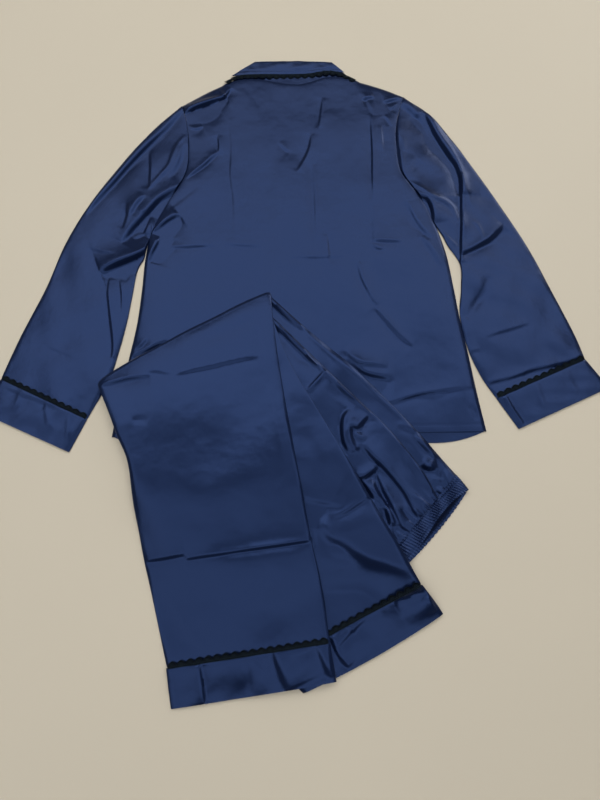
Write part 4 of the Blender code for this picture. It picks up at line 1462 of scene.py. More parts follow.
@dataclass
class Jacket:
    """The jacket, face down: two fronts, the back over them, sleeves with cuffs, and the collar."""

    left_edge: Line = (  # (y, x) up the side seam, the armhole and to the shoulder
        (199, -291), (262, -284), (325, -274), (385, -265), (446, -261), (505, -259),
        (556, -251), (610, -228), (672, -199), (738, -198), (777, -204), (809, -213))
    right_edge: Line = (
        (208, 289), (266, 279.5), (330, 270.5), (396, 260.5), (455, 253.5), (515, 245),
        (570, 229), (622, 207), (677, 176), (735, 170), (780, 174), (829, 187))
    armpit_row: int = 6
    top_edge: Line = (  # (x, y) along left shoulder, neckline and right shoulder
        (-213, 809), (-172, 836), (-135, 856), (-100, 866), (-69, 865), (-36, 857.5),
        (-4, 854.5), (22, 861), (48, 870), (80, 869.5), (106, 862), (148, 847), (187, 829))
    neck: Point = (0.2, 0.78)
    neckline_from: float = 0.55
    side_drop: float = 3.0
    placket: float = 30.0
    facing: float = 1.45  # how high the back lies over the fronts and what faces them
    facing_in: Point = (4.0, 16.0)  # from where to where it comes to that height
    armhole_from: Point = (0.47, 0.55)  # shares of the back's length
    neck_soft: float = 0.03
    neck_fade: float = 0.75
    drop: float = 2.6  # over what distance the back's free edge bends down
    rise: float = 8.0  # over what distance its relief comes up from its edges
    seam_depth: float = 0.35
    least_air: float = 0.1
    least_back: float = 0.35
    back_hem: Hem = Hem(11.5, 1.1, 0.35, 2.0, 0.2)
    front_hem: Hem = Hem(10.5, 1.6, 0.3, 2.5, 0.15)
    front_air: float = 0.25
    front_least: float = -0.3  # how far its ripple may lie below that
    front_flat: float = 25.0  # over what distance from the hem it has less of it
    front_columns: int = 61
    centre: float = -6.0
    hem_sag: float = 18.0
    hem_curve: float = 0.25
    hem_fade: float = 6.0
    neck_points: Point = (-120.0, 92.0)
    lapel_break: float = 640.0
    sleeve_left: Sections = sectioned(
        (-214, 811, -252, 555, 10.0, 0.4), (-254, 767, -258.8, 520, 7.0, 1.0),
        (-281, 733, -261.4, 503, 5.0, 1.1), (-308, 695, -271, 480, 3.0, 1.2),
        (-359, 613, -276, 436, 0.0, 1.4), (-395, 534, -281, 392, 0.0, 1.2),
        (-419, 452, -289, 346, 0.0, 1.0), (-451, 366, -302, 292, 0.0, 0.8),
        (-474, 294, -331, 228, 0.0, 0.4))
    sleeve_right: Sections = sectioned(
        (234.5, 568, 192, 834, 14.0, 0.4), (248, 530, 244, 776, 8.0, 1.2),
        (267, 494, 293, 697, 3.0, 1.4), (266, 450, 342, 608, 0.0, 1.4),
        (260.8, 402, 384, 524, 0.0, 1.2), (269.6, 344, 417, 440, 0.0, 1.0),
        (288, 296, 443, 371, 0.0, 0.8), (308, 262, 456, 327, 0.0, 0.4))
    cuff_left: Sections = sectioned(
        (-474, 294, -331, 228), (-501.2, 239.5, -354.5, 175.2))
    cuff_right: Sections = sectioned(
        (308, 262, 456, 327), (339.2, 211.8, 488.2, 278.8))
    collar_stand: tuple[Point, Point] = ((-128, 861), (98, 866))
    collar_roll: tuple[Point, Point] = ((-84, 903), (59, 902))
    collar_fall: tuple[Point, Point] = ((-125, 874), (81, 881.5))
    roll_bow: float = 2.5
    fall_bow: float = 1.2
    fall_peak: Triple = (3.6, 0.87, 0.09)  # how far its edge rises, where and over what share
    fall_air: float = 0.5
    fall_puff: float = 0.35
    fall_stitch: Triple = (0.3, 5.5, 1.0)  # how deep, how many columns in and over how many
    roll_wave: Triple = (0.5, 2.3, 0.8)  # how far the roll swings, how often and from where
    roll_dent: Triple = (1.1, 0.46, 0.07)  # how far it is pushed in, where and over what share
    roll_radius: float = 2.15
    collar_rows: int = 151
    collar_columns: tuple[int, int, int] = (12, 11, 18)  # of stand, roll and fall
    collar_lace: Line = (
        (-136, 854.5), (-128, 864.5), (-112, 872), (-70, 875), (-36, 876), (0, 877), (28, 879),
        (46, 882), (62, 882), (82, 875), (103, 861))

    def top_line(self) -> Grid:
        """The curve of the back's upper edge, from left to right."""
        return catmull(np.array(self.top_edge, float), TOP_STEPS)

    def back_plan(self, cell: float) -> Grid:
        """The back's plan, row by row from the hem, in about such cells."""
        spans = len(self.left_edge) - 1
        steps = cells(600.0 / spans, cell)
        left, right = (catmull(np.array(edge, float)[:, ::-1], steps)
                       for edge in (self.left_edge, self.right_edge))
        top = self.top_line()
        shares = np.linspace(0, 1, cells(560.0, cell) + 1)
        plan = left[:, None] + shares[None, :, None] * (right - left)[:, None]
        up = (np.linspace(0, 1, len(left)) - self.neckline_from) / (1 - self.neckline_from)
        rise = np.maximum(0, up) ** 2
        x_top = top[0, 0] + shares * (top[-1, 0] - top[0, 0])
        straight = top[0, 1] + shares * (top[-1, 1] - top[0, 1])
        plan[..., 1] += rise[:, None] * (np.interp(x_top, top[:, 0], top[:, 1]) - straight)[None]
        return plan

    def build_back(self, room: Workroom) -> Grid:
        """Lays the back over the fronts.

        Args:
            room: the workroom.

        Returns:
            The back's upper side.
        """
        plan = self.back_plan(CELL)
        share_up = np.linspace(0, 1, len(plan))[:, None]
        share = np.linspace(0, 1, plan.shape[1])[None, :]
        side = np.minimum(share, 1 - share) * widths(plan)[:, None]
        below, above = from_row(plan, 0), from_row(plan, -1)
        armhole = ease(share_up, *self.armhole_from)
        in_neck = (ease(share, self.neck[0] - self.neck_soft, self.neck[0])
                   * (1 - ease(share, self.neck[1], self.neck[1] + self.neck_soft)))
        relief = Relief(BACK_CREASES, Ripple(11, 120.0, 0.45), level=3.5).at(plan)
        inside = np.minimum(side, np.where(in_neck > 0.5, FAR, above))
        lies = np.maximum(room.bed.rest(plan, 3), self.facing * ease(inside, *self.facing_in))
        down = np.maximum(bell(side, self.drop) * (1 - armhole),
                          bell(above, self.drop) * (1 - in_neck))
        seam = np.maximum(np.exp(-side / SEAM_ROUND) * armhole,
                          np.exp(-above / SEAM_ROUND) * in_neck)
        at_top = np.exp(-above / self.rise) * (1 - self.neck_fade * in_neck)
        fade = (1 - np.exp(-side / self.rise)) * (1 - at_top)
        air = (BACK_AIR + np.maximum(relief, self.least_air - BACK_AIR)) * fade
        under = lies * (1 - down)
        top = under + PLY + air - self.seam_depth * seam - self.back_hem.dip(below)
        top = np.maximum(top, under + self.least_back)
        return room.panel("cloth_jacket_back", plan, top, under)

    def front_plan(self, edge: Line, sign: int) -> Grid:
        """One front's plan, from its side seam and armhole to its placket and neck edge."""
        inset = self.side_drop + 2 * SEAM
        edge_y, edge_x = catmull(np.array(edge, float), EDGE_STEPS).T
        armpit = edge[self.armpit_row][0]
        tip_y = edge_y[-1] - inset
        side_y = np.minimum(edge_y, tip_y)
        insets = np.where(edge_y <= armpit, inset, SEAM)
        side = np.column_stack([np.interp(side_y, edge_y, edge_x) - sign * insets, side_y])
        keep = edge_y <= tip_y
        side = side[:int(keep.sum()) // LINING_STEP * LINING_STEP + 1]
        neck_x = self.neck_points[0] if sign < 0 else self.neck_points[1]
        top = np.array(self.top_edge, float)
        neck_y = np.interp(neck_x, top[:, 0], top[:, 1]) - inset
        centre = self.centre - sign * self.placket / 2
        share = np.linspace(0, 1, len(side))[:, None]
        y_inner = (1 - share) * (side[0, 1] - self.hem_sag) + share * neck_y
        opened = np.maximum(0, (y_inner - self.lapel_break) / (neck_y - self.lapel_break))
        x_inner = centre + opened * (neck_x - centre)
        t = np.linspace(0, 1, self.front_columns)[None, :]
        curve = 1 - (1 - np.minimum(1, t / self.hem_curve)) ** 2 - t
        sag = -((1 - share) ** self.hem_fade) * self.hem_sag * curve
        x = side[:, :1] + t * (x_inner - side[:, :1])
        y = side[:, 1:] + t * (y_inner - side[:, 1:]) + sag
        return np.dstack([x, y])

    def build_front(self, room: Workroom, name: str, edge: Line, sign: int) -> Grid:
        """Lays one front on the floor and returns its upper side."""
        plan = self.front_plan(edge, sign)
        under = room.bed.rest(plan, 3)
        below = from_row(plan, 0)
        ripple = np.maximum(Ripple(5, 70.0, 0.2).at(plan), self.front_least)
        ripple = ripple * ease(below, 0, self.front_flat)
        top = under + PLY + self.front_air + ripple - self.front_hem.dip(below)
        return room.panel(name, plan, top, under)

    def armhole(self, edge: Line, sign: int, count: int) -> Grid:
        """The sleeve's first row, a seam's gap from the back, from the armpit up."""
        curve = catmull(np.array(edge, float)[self.armpit_row:, ::-1], EDGE_STEPS)
        made = curve - sign * SEAM * squares(curve)
        return resample(made, np.linspace(0, 1, len(made)), count)

    def build_sleeve(self, room: Workroom, side: str, sections: Sections, cuff: Sections,
                     reliefs: tuple[Relief, Relief]) -> tuple[Plies, Plies]:
        """Lays a sleeve and its cuff on the floor.

        Args:
            room: the workroom.
            side: left or right.
            sections: the sleeve's sections.
            cuff: the cuff's sections.
            reliefs: what stands on the sleeve and on the cuff.

        Returns:
            The plies of the sleeve and of the cuff.
        """
        shape = TubeShape(sections, reliefs[0], 87, seam_at=(side == "right", True))
        if side == "right":
            start = self.armhole(self.right_edge, 1, shape.columns + 1)
        else:
            start = self.armhole(self.left_edge, -1, shape.columns + 1)[::-1]
        band = TubeShape(cuff, reliefs[1], 60, 2.2, seam_at=(True, False))
        made = (shape.lay(Bed(), start), band.lay(Bed()))
        for name, plies in zip((f"cloth_sleeve_{side}", f"cloth_cuff_{side}"), made):
            skin = plies.skin(True)
            room.tube(name, skin, plies.lining().skin(True))
            room.bed.lay(skin)
        return made

    def collar_skin(self, bed: Bed) -> Grid:
        """The collar's outer skin: the stand out to the roll, and the fall back over it."""
        stand, roll, fall = (np.linspace(*ends, self.collar_rows)
                             for ends in (self.collar_stand, self.collar_roll, self.collar_fall))
        share = np.linspace(0, 1, self.collar_rows)
        swell, top = np.sin(pi * share), self.top_line()
        swing, turns, phase = self.roll_wave
        dent, centre, spread = self.roll_dent
        wave = swing * np.sin(2 * pi * share * turns + phase) - dent * bell(share - centre, spread)
        roll[:, 1] += (self.roll_bow + wave) * swell
        stand[:, 1] = np.interp(stand[:, 0], top[:, 0], top[:, 1]) + SEAM
        peak, centre, spread = self.fall_peak
        fall[:, 1] += self.fall_bow * swell + peak * bell(share - centre, spread)
        radius, (on_stand, on_roll, on_fall) = self.roll_radius, self.collar_columns
        columns = [np.column_stack([stand + t * (roll - stand), np.zeros(len(share))])
                   for t in np.linspace(0, 1, on_stand + 1)[:-1]]
        for turn in np.radians(np.linspace(-90, 90, on_roll)):
            level = np.full(len(roll), radius + radius * sin(turn))
            columns.append(np.column_stack([roll[:, 0], roll[:, 1] + radius * cos(turn), level]))
        lies = bed.rest(fall, 2) + PLY + self.fall_air
        depth, stitches, width = self.fall_stitch
        for t in np.linspace(0, 1, on_fall + 1)[1:]:
            at = roll + t * (fall - roll)
            puff = (self.fall_puff + Ripple(21, 26.0, 0.25).at(at)) * sin(pi * t)
            stitch = depth * bell((1 - t) * on_fall - stitches, width)
            level = 2 * radius + (lies - 2 * radius) * t**2 + puff - stitch
            columns.append(np.column_stack([at, level]))
        return np.stack(columns, axis=1)

    def build_collar(self, room: Workroom) -> Grid:
        """Lays the collar and returns its outer skin."""
        skin = self.collar_skin(room.bed)
        along, across = np.gradient(skin, axis=0), np.gradient(skin, axis=1)
        normal = np.cross(along, across)
        normal /= np.linalg.norm(normal, axis=2)[..., None]
        if normal[len(normal) // 2, -5, 2] < 0:
            normal = -normal
        lining = skin - PLY * normal
        room.sheet("cloth_collar", skin, lining)
        room.bed.lay(skin)
        room.bed.lay(lining)
        return skin

    def build(self, room: Workroom) -> None:
        """Lays the whole jacket.

        Args:
            room: the workroom.
        """
        front = self.build_front(room, "cloth_jacket_front_right", self.right_edge, 1)
        self.build_front(room, "cloth_jacket_front_left", self.left_edge, -1)
        back = self.build_back(room)
        sleeves = (
            ("left", self.sleeve_left, self.cuff_left, SLEEVE_LEFT_CREASES, CUFF_LEFT_CREASES, 31),
            ("right", self.sleeve_right, self.cuff_right, SLEEVE_RIGHT_CREASES, CUFF_RIGHT_CREASES,
             33))
        routes = []
        for side, sections, cuff, on_sleeve, on_cuff, seed in sleeves:
            reliefs = (Relief(on_sleeve, Ripple(seed, 80.0, 0.5)),
                       Relief(on_cuff, Ripple(seed + 1, 30.0, 0.2)))
            plies, band = self.build_sleeve(room, side, sections, cuff, reliefs)
            routes += [lifted(plies, -4), lifted(band, -3)]
        lace = Lace()
        for side, _, cuff, *_ in sleeves:
            lace.sew(room, f"lace_cuff_{side}", cuff[0].line, 1)
        collar = self.build_collar(room)
        route = catmull(np.array(self.collar_lace, float), TOP_STEPS)
        lace.sew(room, "lace_collar", route, -1)
        rows = (back[4, 4:-4], front[4, 2:-1], collar[4:-4, -5])
        routes += [row + THREAD_LIFT for row in rows]
        Stitching().sew(room, "stitching_jacket", routes)

    def dress(self, room: Workroom) -> None:
        """Hands the jacket's pieces to the frame."""
        room.cloth("jacket_front_right")
        room.cloth("jacket_front_left")
        room.cloth("jacket_back")
        for side in ("left", "right"):
            room.cloth(f"sleeve_{side}")
            room.cloth(f"cuff_{side}")
            room.hand_over(room.made[f"lace_cuff_{side}"], f"cuff_lace_{side}")
        room.cloth("collar")
        room.hand_over(room.made["lace_collar"], "collar_lace")
        room.hand_over(room.made["stitching_jacket"], None)


def lifted(plies: Plies, row: int) -> Grid:
    """A route along one of a tube's rows, just above its upper ply."""
    return np.column_stack([plies.plan[row, 2:-2], plies.high[row, 2:-2]]) + THREAD_LIFT


# ---- the trousers


OUTER_UPPER_CREASES = (
    ridge(1.5, 2.6, 272, 298, 281, 308, 292, 319, 304, 330, 312, 339, 329, 354, 349, 371, 369,
         389, 389, 407, 404, 420, 414, 429, ends=0.15),
    step(3.0, 4.5, 272, 303, 284, 316, 299, 329), step(1.1, 2.8, 298, 329, 303, 328, 308, 325),
    step(1.6, 3.0, 398, 427, 408, 430, 417, 434), ridge(-1.4, 3.4, 403, 442, 408, 448, 413, 453),
    step(2.8, 3.2, 414, 438, 424, 448, 434, 458, ends=0.3),
    ridge(1.3, 2.8, 419, 436, 429, 446, 438, 454), step(4.2, 4.8, 421, 464, 428, 469, 437, 468),
    step(2.2, 2.8, 443, 471, 447, 481, 451, 492), step(1.8, 2.6, 449, 477, 453, 484, 457, 491),
    step(1.9, 2.6, 440, 479, 444, 484, 448, 489), ridge(2.2, 2.8, 433, 477, 440, 482, 446, 489),
    step(2.4, 2.8, 436, 489, 440, 493, 444, 499), ridge(-1.2, 2.6, 450, 474, 454, 480, 458, 486),
    ridge(3.4, 15.0, 414, 438, 423, 456, 431, 474, 438, 494),
)
OUTER_LOWER_CREASES = (
    step(2.2, 3.0, 103, 386.5, 117, 383.7, 131, 380.3, 152, 378.5),
    step(0.7, 3.0, 148, 373, 160, 374, 172, 377),
    step(1.1, 3.0, 176, 377, 194, 373, 211, 369.5, 227, 365.5, 243, 362, 260, 359.5),
    ridge(-1.4, 12.0, 185, 349, 215, 338, 247, 325, 262, 318),
    ridge(0.9, 5.0, 268, 385, 276, 420, 285, 465), ridge(-0.9, 6.0, 256, 328, 259, 342, 260, 357),
    ridge(-1.0, 5.0, 134, 423, 141, 421, 149, 423),
    step(1.5, 2.6, 145, 561.5, 165, 558.5, 184.5, 555, ends=0.2),
    step(1.5, 2.6, 186, 559.5, 220, 554.5, 250, 550, 280, 546, 312, 541, ends=0.2),
    step(0.6, 2.6, 250, 549.5, 280, 545.5, 312, 540.5, ends=0.3),
    ridge(1.0, 2.6, 287, 424, 294, 450, 302, 500, 308, 531, ends=0.3),
)
HEM_OUTER_CREASES = (
    step(-2.1, 2.6, 200.5, 665, 203, 684, 205, 703, ends=0.15),
    ridge(-0.6, 2.4, 173, 670, 174, 690, 176, 706), ridge(-1.0, 4.0, 247, 658, 249, 675, 250, 695),
    ridge(-0.8, 3.0, 254, 656, 259, 661, 265, 668),
    step(2.4, 5.5, 273, 650, 277, 664, 287, 690, ends=0.2, taper=1.5),
    step(2.0, 4.5, 316, 645, 322, 660, 329, 677, ends=0.3),
)
INNER_UPPER_CREASES = (
    ridge(2.0, 2.6, 271, 317, 285.5, 330, 298.5, 344, 311.5, 360, 325, 373, 336, 383, 348, 395,
         363, 407, 378, 419, 391, 433, 403, 447, 414, 460, 422, 470, 429, 481, 432, 492, ends=0.1),
    step(3.4, 4.4, 271, 323, 283, 334, 296, 348, 308, 360, 318, 369),
    step(1.8, 3.0, 334, 384, 346, 395, 357, 404), ridge(-1.8, 2.4, 303, 343, 312, 353, 321, 363),
    ridge(-1.8, 2.4, 374, 411, 385, 421, 396, 433),
    ridge(3.0, 3.4, 326, 372, 318, 381, 308, 392, ends=0.4),
    step(3.8, 4.8, 348, 409, 342.5, 418, 341, 430, 343, 442, 350, 455),
    ridge(2.5, 4.5, 354, 418, 349, 430, 351, 444, 358, 455),
    step(2.0, 2.8, 350, 426, 357, 429, 363, 431), step(1.8, 3.0, 354, 430, 357, 438, 366, 441),
    step(3.0, 3.8, 355, 431, 361, 425, 369, 417), ridge(-1.4, 6.0, 362, 424, 372, 420, 383, 424),
    step(3.6, 3.9, 362, 445, 372, 458, 382, 467, 392, 478, 403, 492, 410, 505, 417, 518, ends=0.35),
    step(3.2, 3.6, 375, 471, 381, 485, 388, 500, 395, 514, 401, 526, 410, 533, ends=0.4),
    ridge(-2.5, 3.2, 374, 484, 383, 496, 392, 509),
    ridge(2.5, 3.6, 370, 477, 376, 491, 385, 505, 392, 519, 396, 530),
    step(4.0, 4.6, 357, 479, 367, 476, 379, 468), step(3.8, 4.6, 359, 478, 366, 487, 375, 500),
    step(3.4, 4.0, 385, 507, 388, 517, 390, 527), ridge(-2.5, 3.0, 393, 523, 397, 537, 405, 548),
    ridge(-2.5, 3.2, 401, 509, 408, 518, 416, 525), ridge(-1.4, 9.0, 395, 452, 405, 463, 420, 482),
)
INNER_LOWER_CREASES = (
    step(1.4, 3.2, 332, 519, 346, 513, 358, 505, 372, 496),
    step(1.3, 6.0, 298, 497, 320, 503, 344, 507),
    step(3.8, 13.5, 316, 530, 345, 547, 367, 562, 390, 569, 414, 579, ends=0.6),
    ridge(1.4, 6.0, 322, 518, 328, 530, 332, 545),
    ridge(-1.8, 3.0, 312.5, 529, 313.5, 538, 314.5, 549),
    ridge(-1.0, 10.0, 300, 430, 315, 455, 325, 480), ridge(-1.4, 6.0, 352, 463, 360, 462, 368, 458),
)
HEM_INNER_CREASES = (
    step(0.9, 2.4, 339, 646, 351, 633, 364, 620, ends=0.3),
    step(4.6, 5.6, 392, 600, 405, 593, 417, 589, 427, 590, ends=0.4),
    step(2.1, 3.0, 331, 637, 338, 655, 348, 668, ends=0.2),
    step(3.6, 5.0, 438, 610, 434, 602, 428, 593), step(0.8, 2.6, 346, 627, 352, 631, 357, 634),
)


WAIST = ((140, 32), (237.5, 140.5))  # the ends of the trousers' waist seam


@dataclass
class Leg:
    """A leg folded back over itself, with its hem band and lace."""

    side: str
    upper: Sections
    lower: Sections
    band: Sections
    reliefs: tuple[Relief, Relief, Relief]
    upper_cell: float = 2.5
    cell: float = 2.3
    columns: int = 99
    fold_count: int = 9
    drape: tuple[int, int] = (6, 8)
    laid: Optional[Plies] = None

    def lay_upper(self, bed: Bed) -> None:
        """Lays the part from the waist to the fold."""
        shape = TubeShape(self.upper, self.reliefs[0], self.columns, self.upper_cell)
        self.laid = shape.lay(bed)
        bed.lay(self.laid.skin(False))

    def fold_back(self, room: Workroom) -> Plies:
        """Lays the part from the fold to the hem, and the hem band.

        Args:
            room: the workroom.

        Returns:
            The plies of the band.
        """
        shape = TubeShape(self.lower, self.reliefs[1], self.columns, self.cell, (False, True),
                          *self.drape)
        lower = shape.lay(room.bed, clear=2 * CLEAR)
        skins = []
        for first, last in ((self.laid, lower), (self.laid.lining(), lower.lining())):
            under, over = first.skin(False), last.skin(True)
            rings = fold_rings(under[-1], over[0], self.fold_count)
            skins.append(np.concatenate([under, rings, over]))
        room.tube(f"cloth_leg_{self.side}", *skins)
        room.bed.lay(lower.skin(True))
        band = TubeShape(self.band, self.reliefs[2], cell=2.2, seam_at=(True, False),
                         drape=self.drape[0], soften=self.drape[1]).lay(room.bed)
        room.tube(f"cloth_hem_band_{self.side}", band.skin(True), band.lining().skin(True))
        room.bed.lay(band.skin(True))
        return band


@dataclass
class Casing:
    """The gathered waist casing, a flattened tube with ribs over its elastic."""

    seam: tuple[Point, Point] = WAIST
    mouth: tuple[Point, Point] = ((155, 7), (254, 118))
    wall: float = 1.2
    heights: Point = (7.4, 4.4)  # over the inner leg and beside it
    height_from: Point = (0.60, 0.74)
    ribs: int = 36
    rib_height: float = 2.5
    rib_lean: float = 0.09
    mouth_sag: float = 8.0
    mouth_lean: float = 1.7
    lower_reach: float = 4.2
    overlap: float = 0.12
    opened_to: float = 0.4
    bulge: float = 3.4
    bulge_ends: Point = (0.66, 0.92)
    # rows at the mouth that keep the satin; deeper in, the inside's colour is painted darker as
    # shade
    lit_rows: int = 4
    edge_in: float = 1.4  # how far in from the outside's edges the plies begin
    lip_round: float = 0.7  # the power that rounds its lower lip
    lip_wave: float = 0.5
    bulge_round: float = 0.35  # the power that rounds the bulge
    rib_pull: float = 0.35  # how far a rib draws the upper lip in, as a share of its height
    inner_ribs: Point = (0.6, 0.5)  # its share that the inner skin has, below and above
    stitch_rows: Point = (0.16, 0.84)  # shares of its depth
    stitch_width: float = 0.05
    stitch_hold: float = 0.45
    around: int = 320
    rows: int = 20

    def ribbed(self, share: Grid, depth: float) -> Grid:
        """How high the ribs stand at these shares of the way round, at this depth."""
        swings = ((0.35, 7.0, 1.3), (0.22, 19.0, 0.0), (0.10 * sin(3 * depth), 31.0, 0.0))
        shift = sum(size * np.sin(rate * share + phase) for size, rate, phase in swings)
        rib = np.abs(np.sin(pi * (self.ribs * (share - self.rib_lean * depth) + shift)))
        uneven = 0.75 + 0.25 * np.sin(23.0 * share + 2.0 * depth)
        held = sum(bell(depth - row, self.stitch_width) for row in self.stitch_rows)
        ends = ease(np.minimum(share, 1 - share), 0, 0.01)
        return rib * self.rib_height * uneven * (1 - self.stitch_hold * held) * ends

    def ring(self, depth: float, inside: bool) -> Grid:
        """One skin's ring at this depth.

        Args:
            depth: a share of the way from the seam to the mouth.
            inside: whether it is the inner skin.

        Returns:
            The lower ply, an edge, the ribbed upper ply and an edge.
        """
        seam, mouth = np.array(self.seam, float), np.array(self.mouth, float)
        across = (seam[1] - seam[0]) / np.linalg.norm(seam[1] - seam[0])
        outward = np.array((across[1], -across[0]))
        left, right = seam + depth * (mouth - seam) - (1 - depth) * self.overlap * outward
        inset, edge = (self.edge_in + self.wall, self.edge_in) if inside else (self.edge_in, 0.0)
        share = np.linspace(0, 1, self.around + 1)
        swell, sagging = np.sin(pi * share), np.sin(pi * share**self.mouth_lean)
        rib, opened = self.ribbed(share, depth), float(ease(depth, 0.0, self.opened_to))
        height = self.heights[0] + (self.heights[1] - self.heights[0]) * (
            ease(share, *self.height_from) * (1 - opened))
        start, end = left + across * inset, right - across * inset
        base = start[None] + share[:, None] * (end - start)[None]
        wave = self.lip_wave * np.sin(pi * self.ribs * share + 1.0) * swell
        reach = self.lower_reach * swell**self.lip_round + wave
        drawn = self.mouth_sag * sagging + self.rib_pull * rib
        lifts, (below, above) = opened * float(1 - ease(depth, *self.bulge_ends)), self.inner_ribs
        low = self.bulge * lifts * sagging**self.bulge_round
        low = low + (self.wall + below * rib if inside else 0)
        high = height + (above * rib - self.wall if inside else rib)
        lower = np.column_stack([base + (outward * depth)[None] * reach[:, None], low])
        upper = np.column_stack([base - (outward * depth)[None] * drawn[:, None], high])[::-1]
        noses = []
        edges = ((right, -1.0, lower[-1], upper[0]), (left, 1.0, upper[-1], lower[0]))
        for at, way, first, last in edges:
            points = []
            for t in (0.2, 0.5, 0.8):
                out, between = sin(pi * t) ** 0.5, first + t * (last - first)
                flat = (1 - out) * between[:2] + out * (at + way * across * edge)
                points.append((*flat, between[2]))
            noses.append(np.array(points))
        return np.concatenate([lower, noses[0], upper, noses[1]])

    def build(self, room: Workroom) -> list[Grid]:
        """Lays the casing and returns the routes of its two rows of stitches."""
        depths = np.linspace(0, 1, self.rows)
        outer, inner = (np.array([self.ring(depth, inside) for depth in depths])
                        for inside in (False, True))
        # the inside is painted darker as shade beyond the lit rows at the mouth
        room.tube("cloth_waist_casing", outer, inner, "satin shaded reverse", self.lit_rows)
        room.bed.lay(outer)
        upper = slice(self.around + 8, 2 * self.around)
        rows = (round(row * (self.rows - 1)) for row in self.stitch_rows)
        return [outer[row, upper] + THREAD_LIFT for row in rows]


def outer_leg() -> Leg:
    """The leg that lies lowest at the waist and, folded back, on top at the hem."""
    fold, hem = (-313, 276, -48, 433, 8.0, 0.0, 0.66), (-187, -131, 42, -96)
    gathers = (Gathers(WAIST, 26, 0.9, 14.0, 3),)
    return Leg(
        "outer",
        sectioned(
            (*WAIST[0], *WAIST[1], 0.0, 0.6), (30, 26, 208, 175, 0.0, 0.4), (-70, 52, 154, 238),
            (-165, 120, 79, 314), (-245, 200, 8, 379, 3.0), fold),
        sectioned(
            fold, (-294.5, 237, -39, 355, 2.0, 0.0, 0.8), (-277.5, 198, -26, 270),
            (-258, 156, -10, 184), (-243.5, 85, 6, 97), (-228, 15, 17, 40), (-212, -42, 32, -30),
            hem),
        sectioned(hem, (-178, -184, 50, -148, -1.0)),
        (Relief(OUTER_UPPER_CREASES, Ripple(41, 90.0, 0.3), gathers, 5.0),
         Relief(OUTER_LOWER_CREASES, Ripple(42, 130.0, 0.55), level=13.0),
         Relief(HEM_OUTER_CREASES, Ripple(43, 45.0, 0.25), level=4.0)),
        upper_cell=4.6)


def inner_leg() -> Leg:
    """The leg between, folded back inside the outer one."""
    waist, hem = ((140, 32), (206, 106)), ((-36, -127), (174, -19))
    at_waist = (Gathers(waist, 20, 1.3, 22.0, 7),)
    at_hem = (Gathers(hem, 26, 0.45, 7.0, 9),)
    pressed = (0.0, 1.0, 1.0)
    return Leg(
        "inner",
        sectioned(
            (*waist[0], *waist[1], 0.0, 1.4), (36, 34, 180, 152, 0.0, 2.4),
            (-60, 62, 131, 216, 0.0, 1.6), (-152, 124, 70, 276, 0.0, 0.4), (-230, 198, 9, 340),
            (-290, 262, -46, 395, -5.0)),
        sectioned(
            (-290, 262, -46, 395, -5.0, *pressed), (-262, 206, -14, 312, 0.0, *pressed),
            (-230, 146, 32, 231, 0.0, *pressed), (-196, 84, 74, 158, 0.0, 0.0, 1.0, 0.1),
            (-157, 24, 111, 93), (-118, -34, 145, 35), (*hem[0], *hem[1])),
        sectioned((*hem[0], *hem[1]), (5, -164, 204, -60, -5.0)),
        (Relief(INNER_UPPER_CREASES, Ripple(51, 60.0, 0.5), at_waist, 9.0),
         Relief(INNER_LOWER_CREASES, Ripple(52, 90.0, 0.45), level=11.0),
         Relief(HEM_INNER_CREASES, Ripple(53, 40.0, 0.25), at_hem, 5.0)))


@dataclass
class Trousers:
    """The trousers, folded in half and each leg folded back over the jacket."""

    outer: Leg = field(default_factory=outer_leg)
    inner: Leg = field(default_factory=inner_leg)
    casing: Casing = field(default_factory=Casing)

    def build(self, room: Workroom) -> None:
        """Lays the trousers over the jacket.

        Args:
            room: the workroom.
        """
        self.outer.lay_upper(room.bed)
        self.inner.lay_upper(room.bed)
        routes = self.casing.build(room)
        for leg in (self.inner, self.outer):
            band = leg.fold_back(room)
            routes += [lifted(band, 3), lifted(band, -3)]
            Lace().sew(room, f"lace_hem_{leg.side}", leg.band[0].line, 1)
        Stitching().sew(room, "stitching_trousers", routes)

    def dress(self, room: Workroom) -> None:
        """Hands the trousers' pieces to the frame."""
        room.cloth("leg_outer")
        room.cloth("leg_inner")
        for side in ("outer", "inner"):
            room.cloth(f"hem_band_{side}")
            room.hand_over(room.made[f"lace_hem_{side}"], f"hem_lace_{side}")
        room.cloth("waist_casing")
        room.hand_over(room.made["stitching_trousers"], None)


# ---- the stage


@dataclass(frozen=True)
class Lamp:
    """A soft panel of light that looks at a point of the set."""

    name: str
    place: Triple
    target: Triple
    size: Point
    power: float
    colour: Triple = (1.0, 0.99, 0.97)

    def build(self) -> None:
        """Makes the lamp."""
        data = bpy.data.lights.new(self.name, "AREA")
        data.shape, data.size, data.size_y = "RECTANGLE", *self.size
        data.energy, data.color = self.power, self.colour
        made = placed(self.name, data)
        made.location = self.place
        way = Vector(self.target) - Vector(self.place)
        made.rotation_euler = way.to_track_quat("-Z", "Y").to_euler()


def ceiling(level: float, *panels: Sequence[float]) -> tuple[Lamp, ...]:
    """Panels of light that look down from one height.

    Args:
        level: their height.
        panels: least x and y, most x and y, and the power to a square metre of each.

    Returns:
        The lamps.
    """
    made = []
    for i, (x0, y0, x1, y1, density) in enumerate(panels):
        centre, size = ((x0 + x1) / 2, (y0 + y1) / 2), (x1 - x0, y1 - y0)
        power = density * size[0] * size[1]
        made.append(Lamp(f"ceiling {i + 1}", (*centre, level), (*centre, 0.0), size, power))
    return tuple(made)


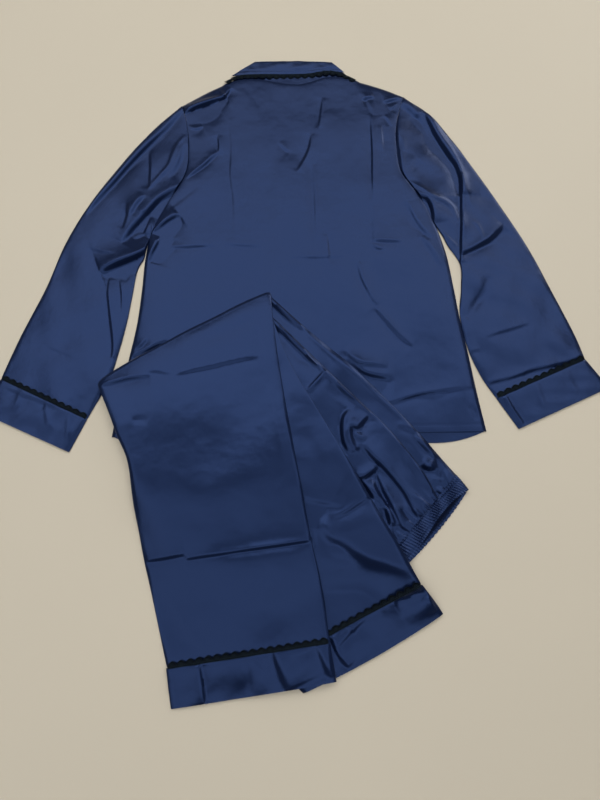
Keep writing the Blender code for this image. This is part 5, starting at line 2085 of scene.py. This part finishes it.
@dataclass
class Studio:
    """Floor, lamps, sky and camera."""

    lamps: tuple[Lamp, ...] = (
        *ceiling(
            2.6, (-2.1, 0.75, 2.25, 2.2, 6.6), (-2.1, 2.2, 2.25, 3.05, 5.0),
            (-2.1, 0.40, 0.2, 0.75, 8.6), (1.0, 0.42, 2.25, 0.75, 5.6), (0.2, 0.0, 1.0, 0.75, 2.0),
            (-3.2, -0.2, -1.10, 0.40, 3.8), (0.0, -0.2, 0.2, 0.42, 3.7), (0.2, -0.3, 1.0, 0.0, 4.4),
            (1.0, -0.3, 1.95, 0.42, 4.3), (-3.2, -0.8, 0.2, -0.2, 4.1),
            (0.2, -0.8, 0.85, -0.3, 1.0), (0.85, -0.8, 1.95, -0.3, 4.3),
            (-3.2, -2.2, 1.95, -0.8, 4.6)),
        Lamp("right window", (2.8, 3.3, 1.6), (0.1, 0.2, 0.0), (1.8, 1.8), 34.0),
    )
    sky: Triple = (0.60, 0.62, 0.66)
    sky_strength: float = 0.24

    def build(self) -> None:
        """Makes the stage."""
        Floor().build()
        for lamp in self.lamps:
            lamp.build()
        world = bpy.data.worlds.new("studio")
        world.use_nodes = True
        back = world.node_tree.nodes["Background"]
        back.inputs["Color"].default_value = (*self.sky, 1.0)
        back.inputs["Strength"].default_value = self.sky_strength
        bpy.context.scene.world = world
        bpy.context.scene.view_settings.view_transform = "Standard"
        CAMERA.build()


def main() -> None:
    """Loads the frame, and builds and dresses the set."""
    logging.basicConfig(level=logging.INFO, format="%(name)s: %(message)s")
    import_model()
    lace = LaceYarn()
    # The casing's inside: the satin's dull reverse side, with its colour painted darker as shade
    # where it lies deep in the tube
    shaded_reverse = Satin((0.0020, 0.0034, 0.0110), (0.0034, 0.0056, 0.0165), 0.5, sheen=0.2, shine=0.10)
    room = Workroom({"satin": Satin().make("navy satin"),
                     "satin shaded reverse": shaded_reverse.make("navy satin shaded reverse"),
                     "thread": Thread().make("navy thread"),
                     "lace cord": lace.make_cord("black lace cord"),
                     "lace net": lace.make_net("black lace net", Lace().net_cell * MM)})
    parts = (Jacket(), Trousers())
    for part in parts:
        part.build(room)
    for part in parts:
        part.dress(room)
    Studio().build()


if __name__ == "__main__":
    main()
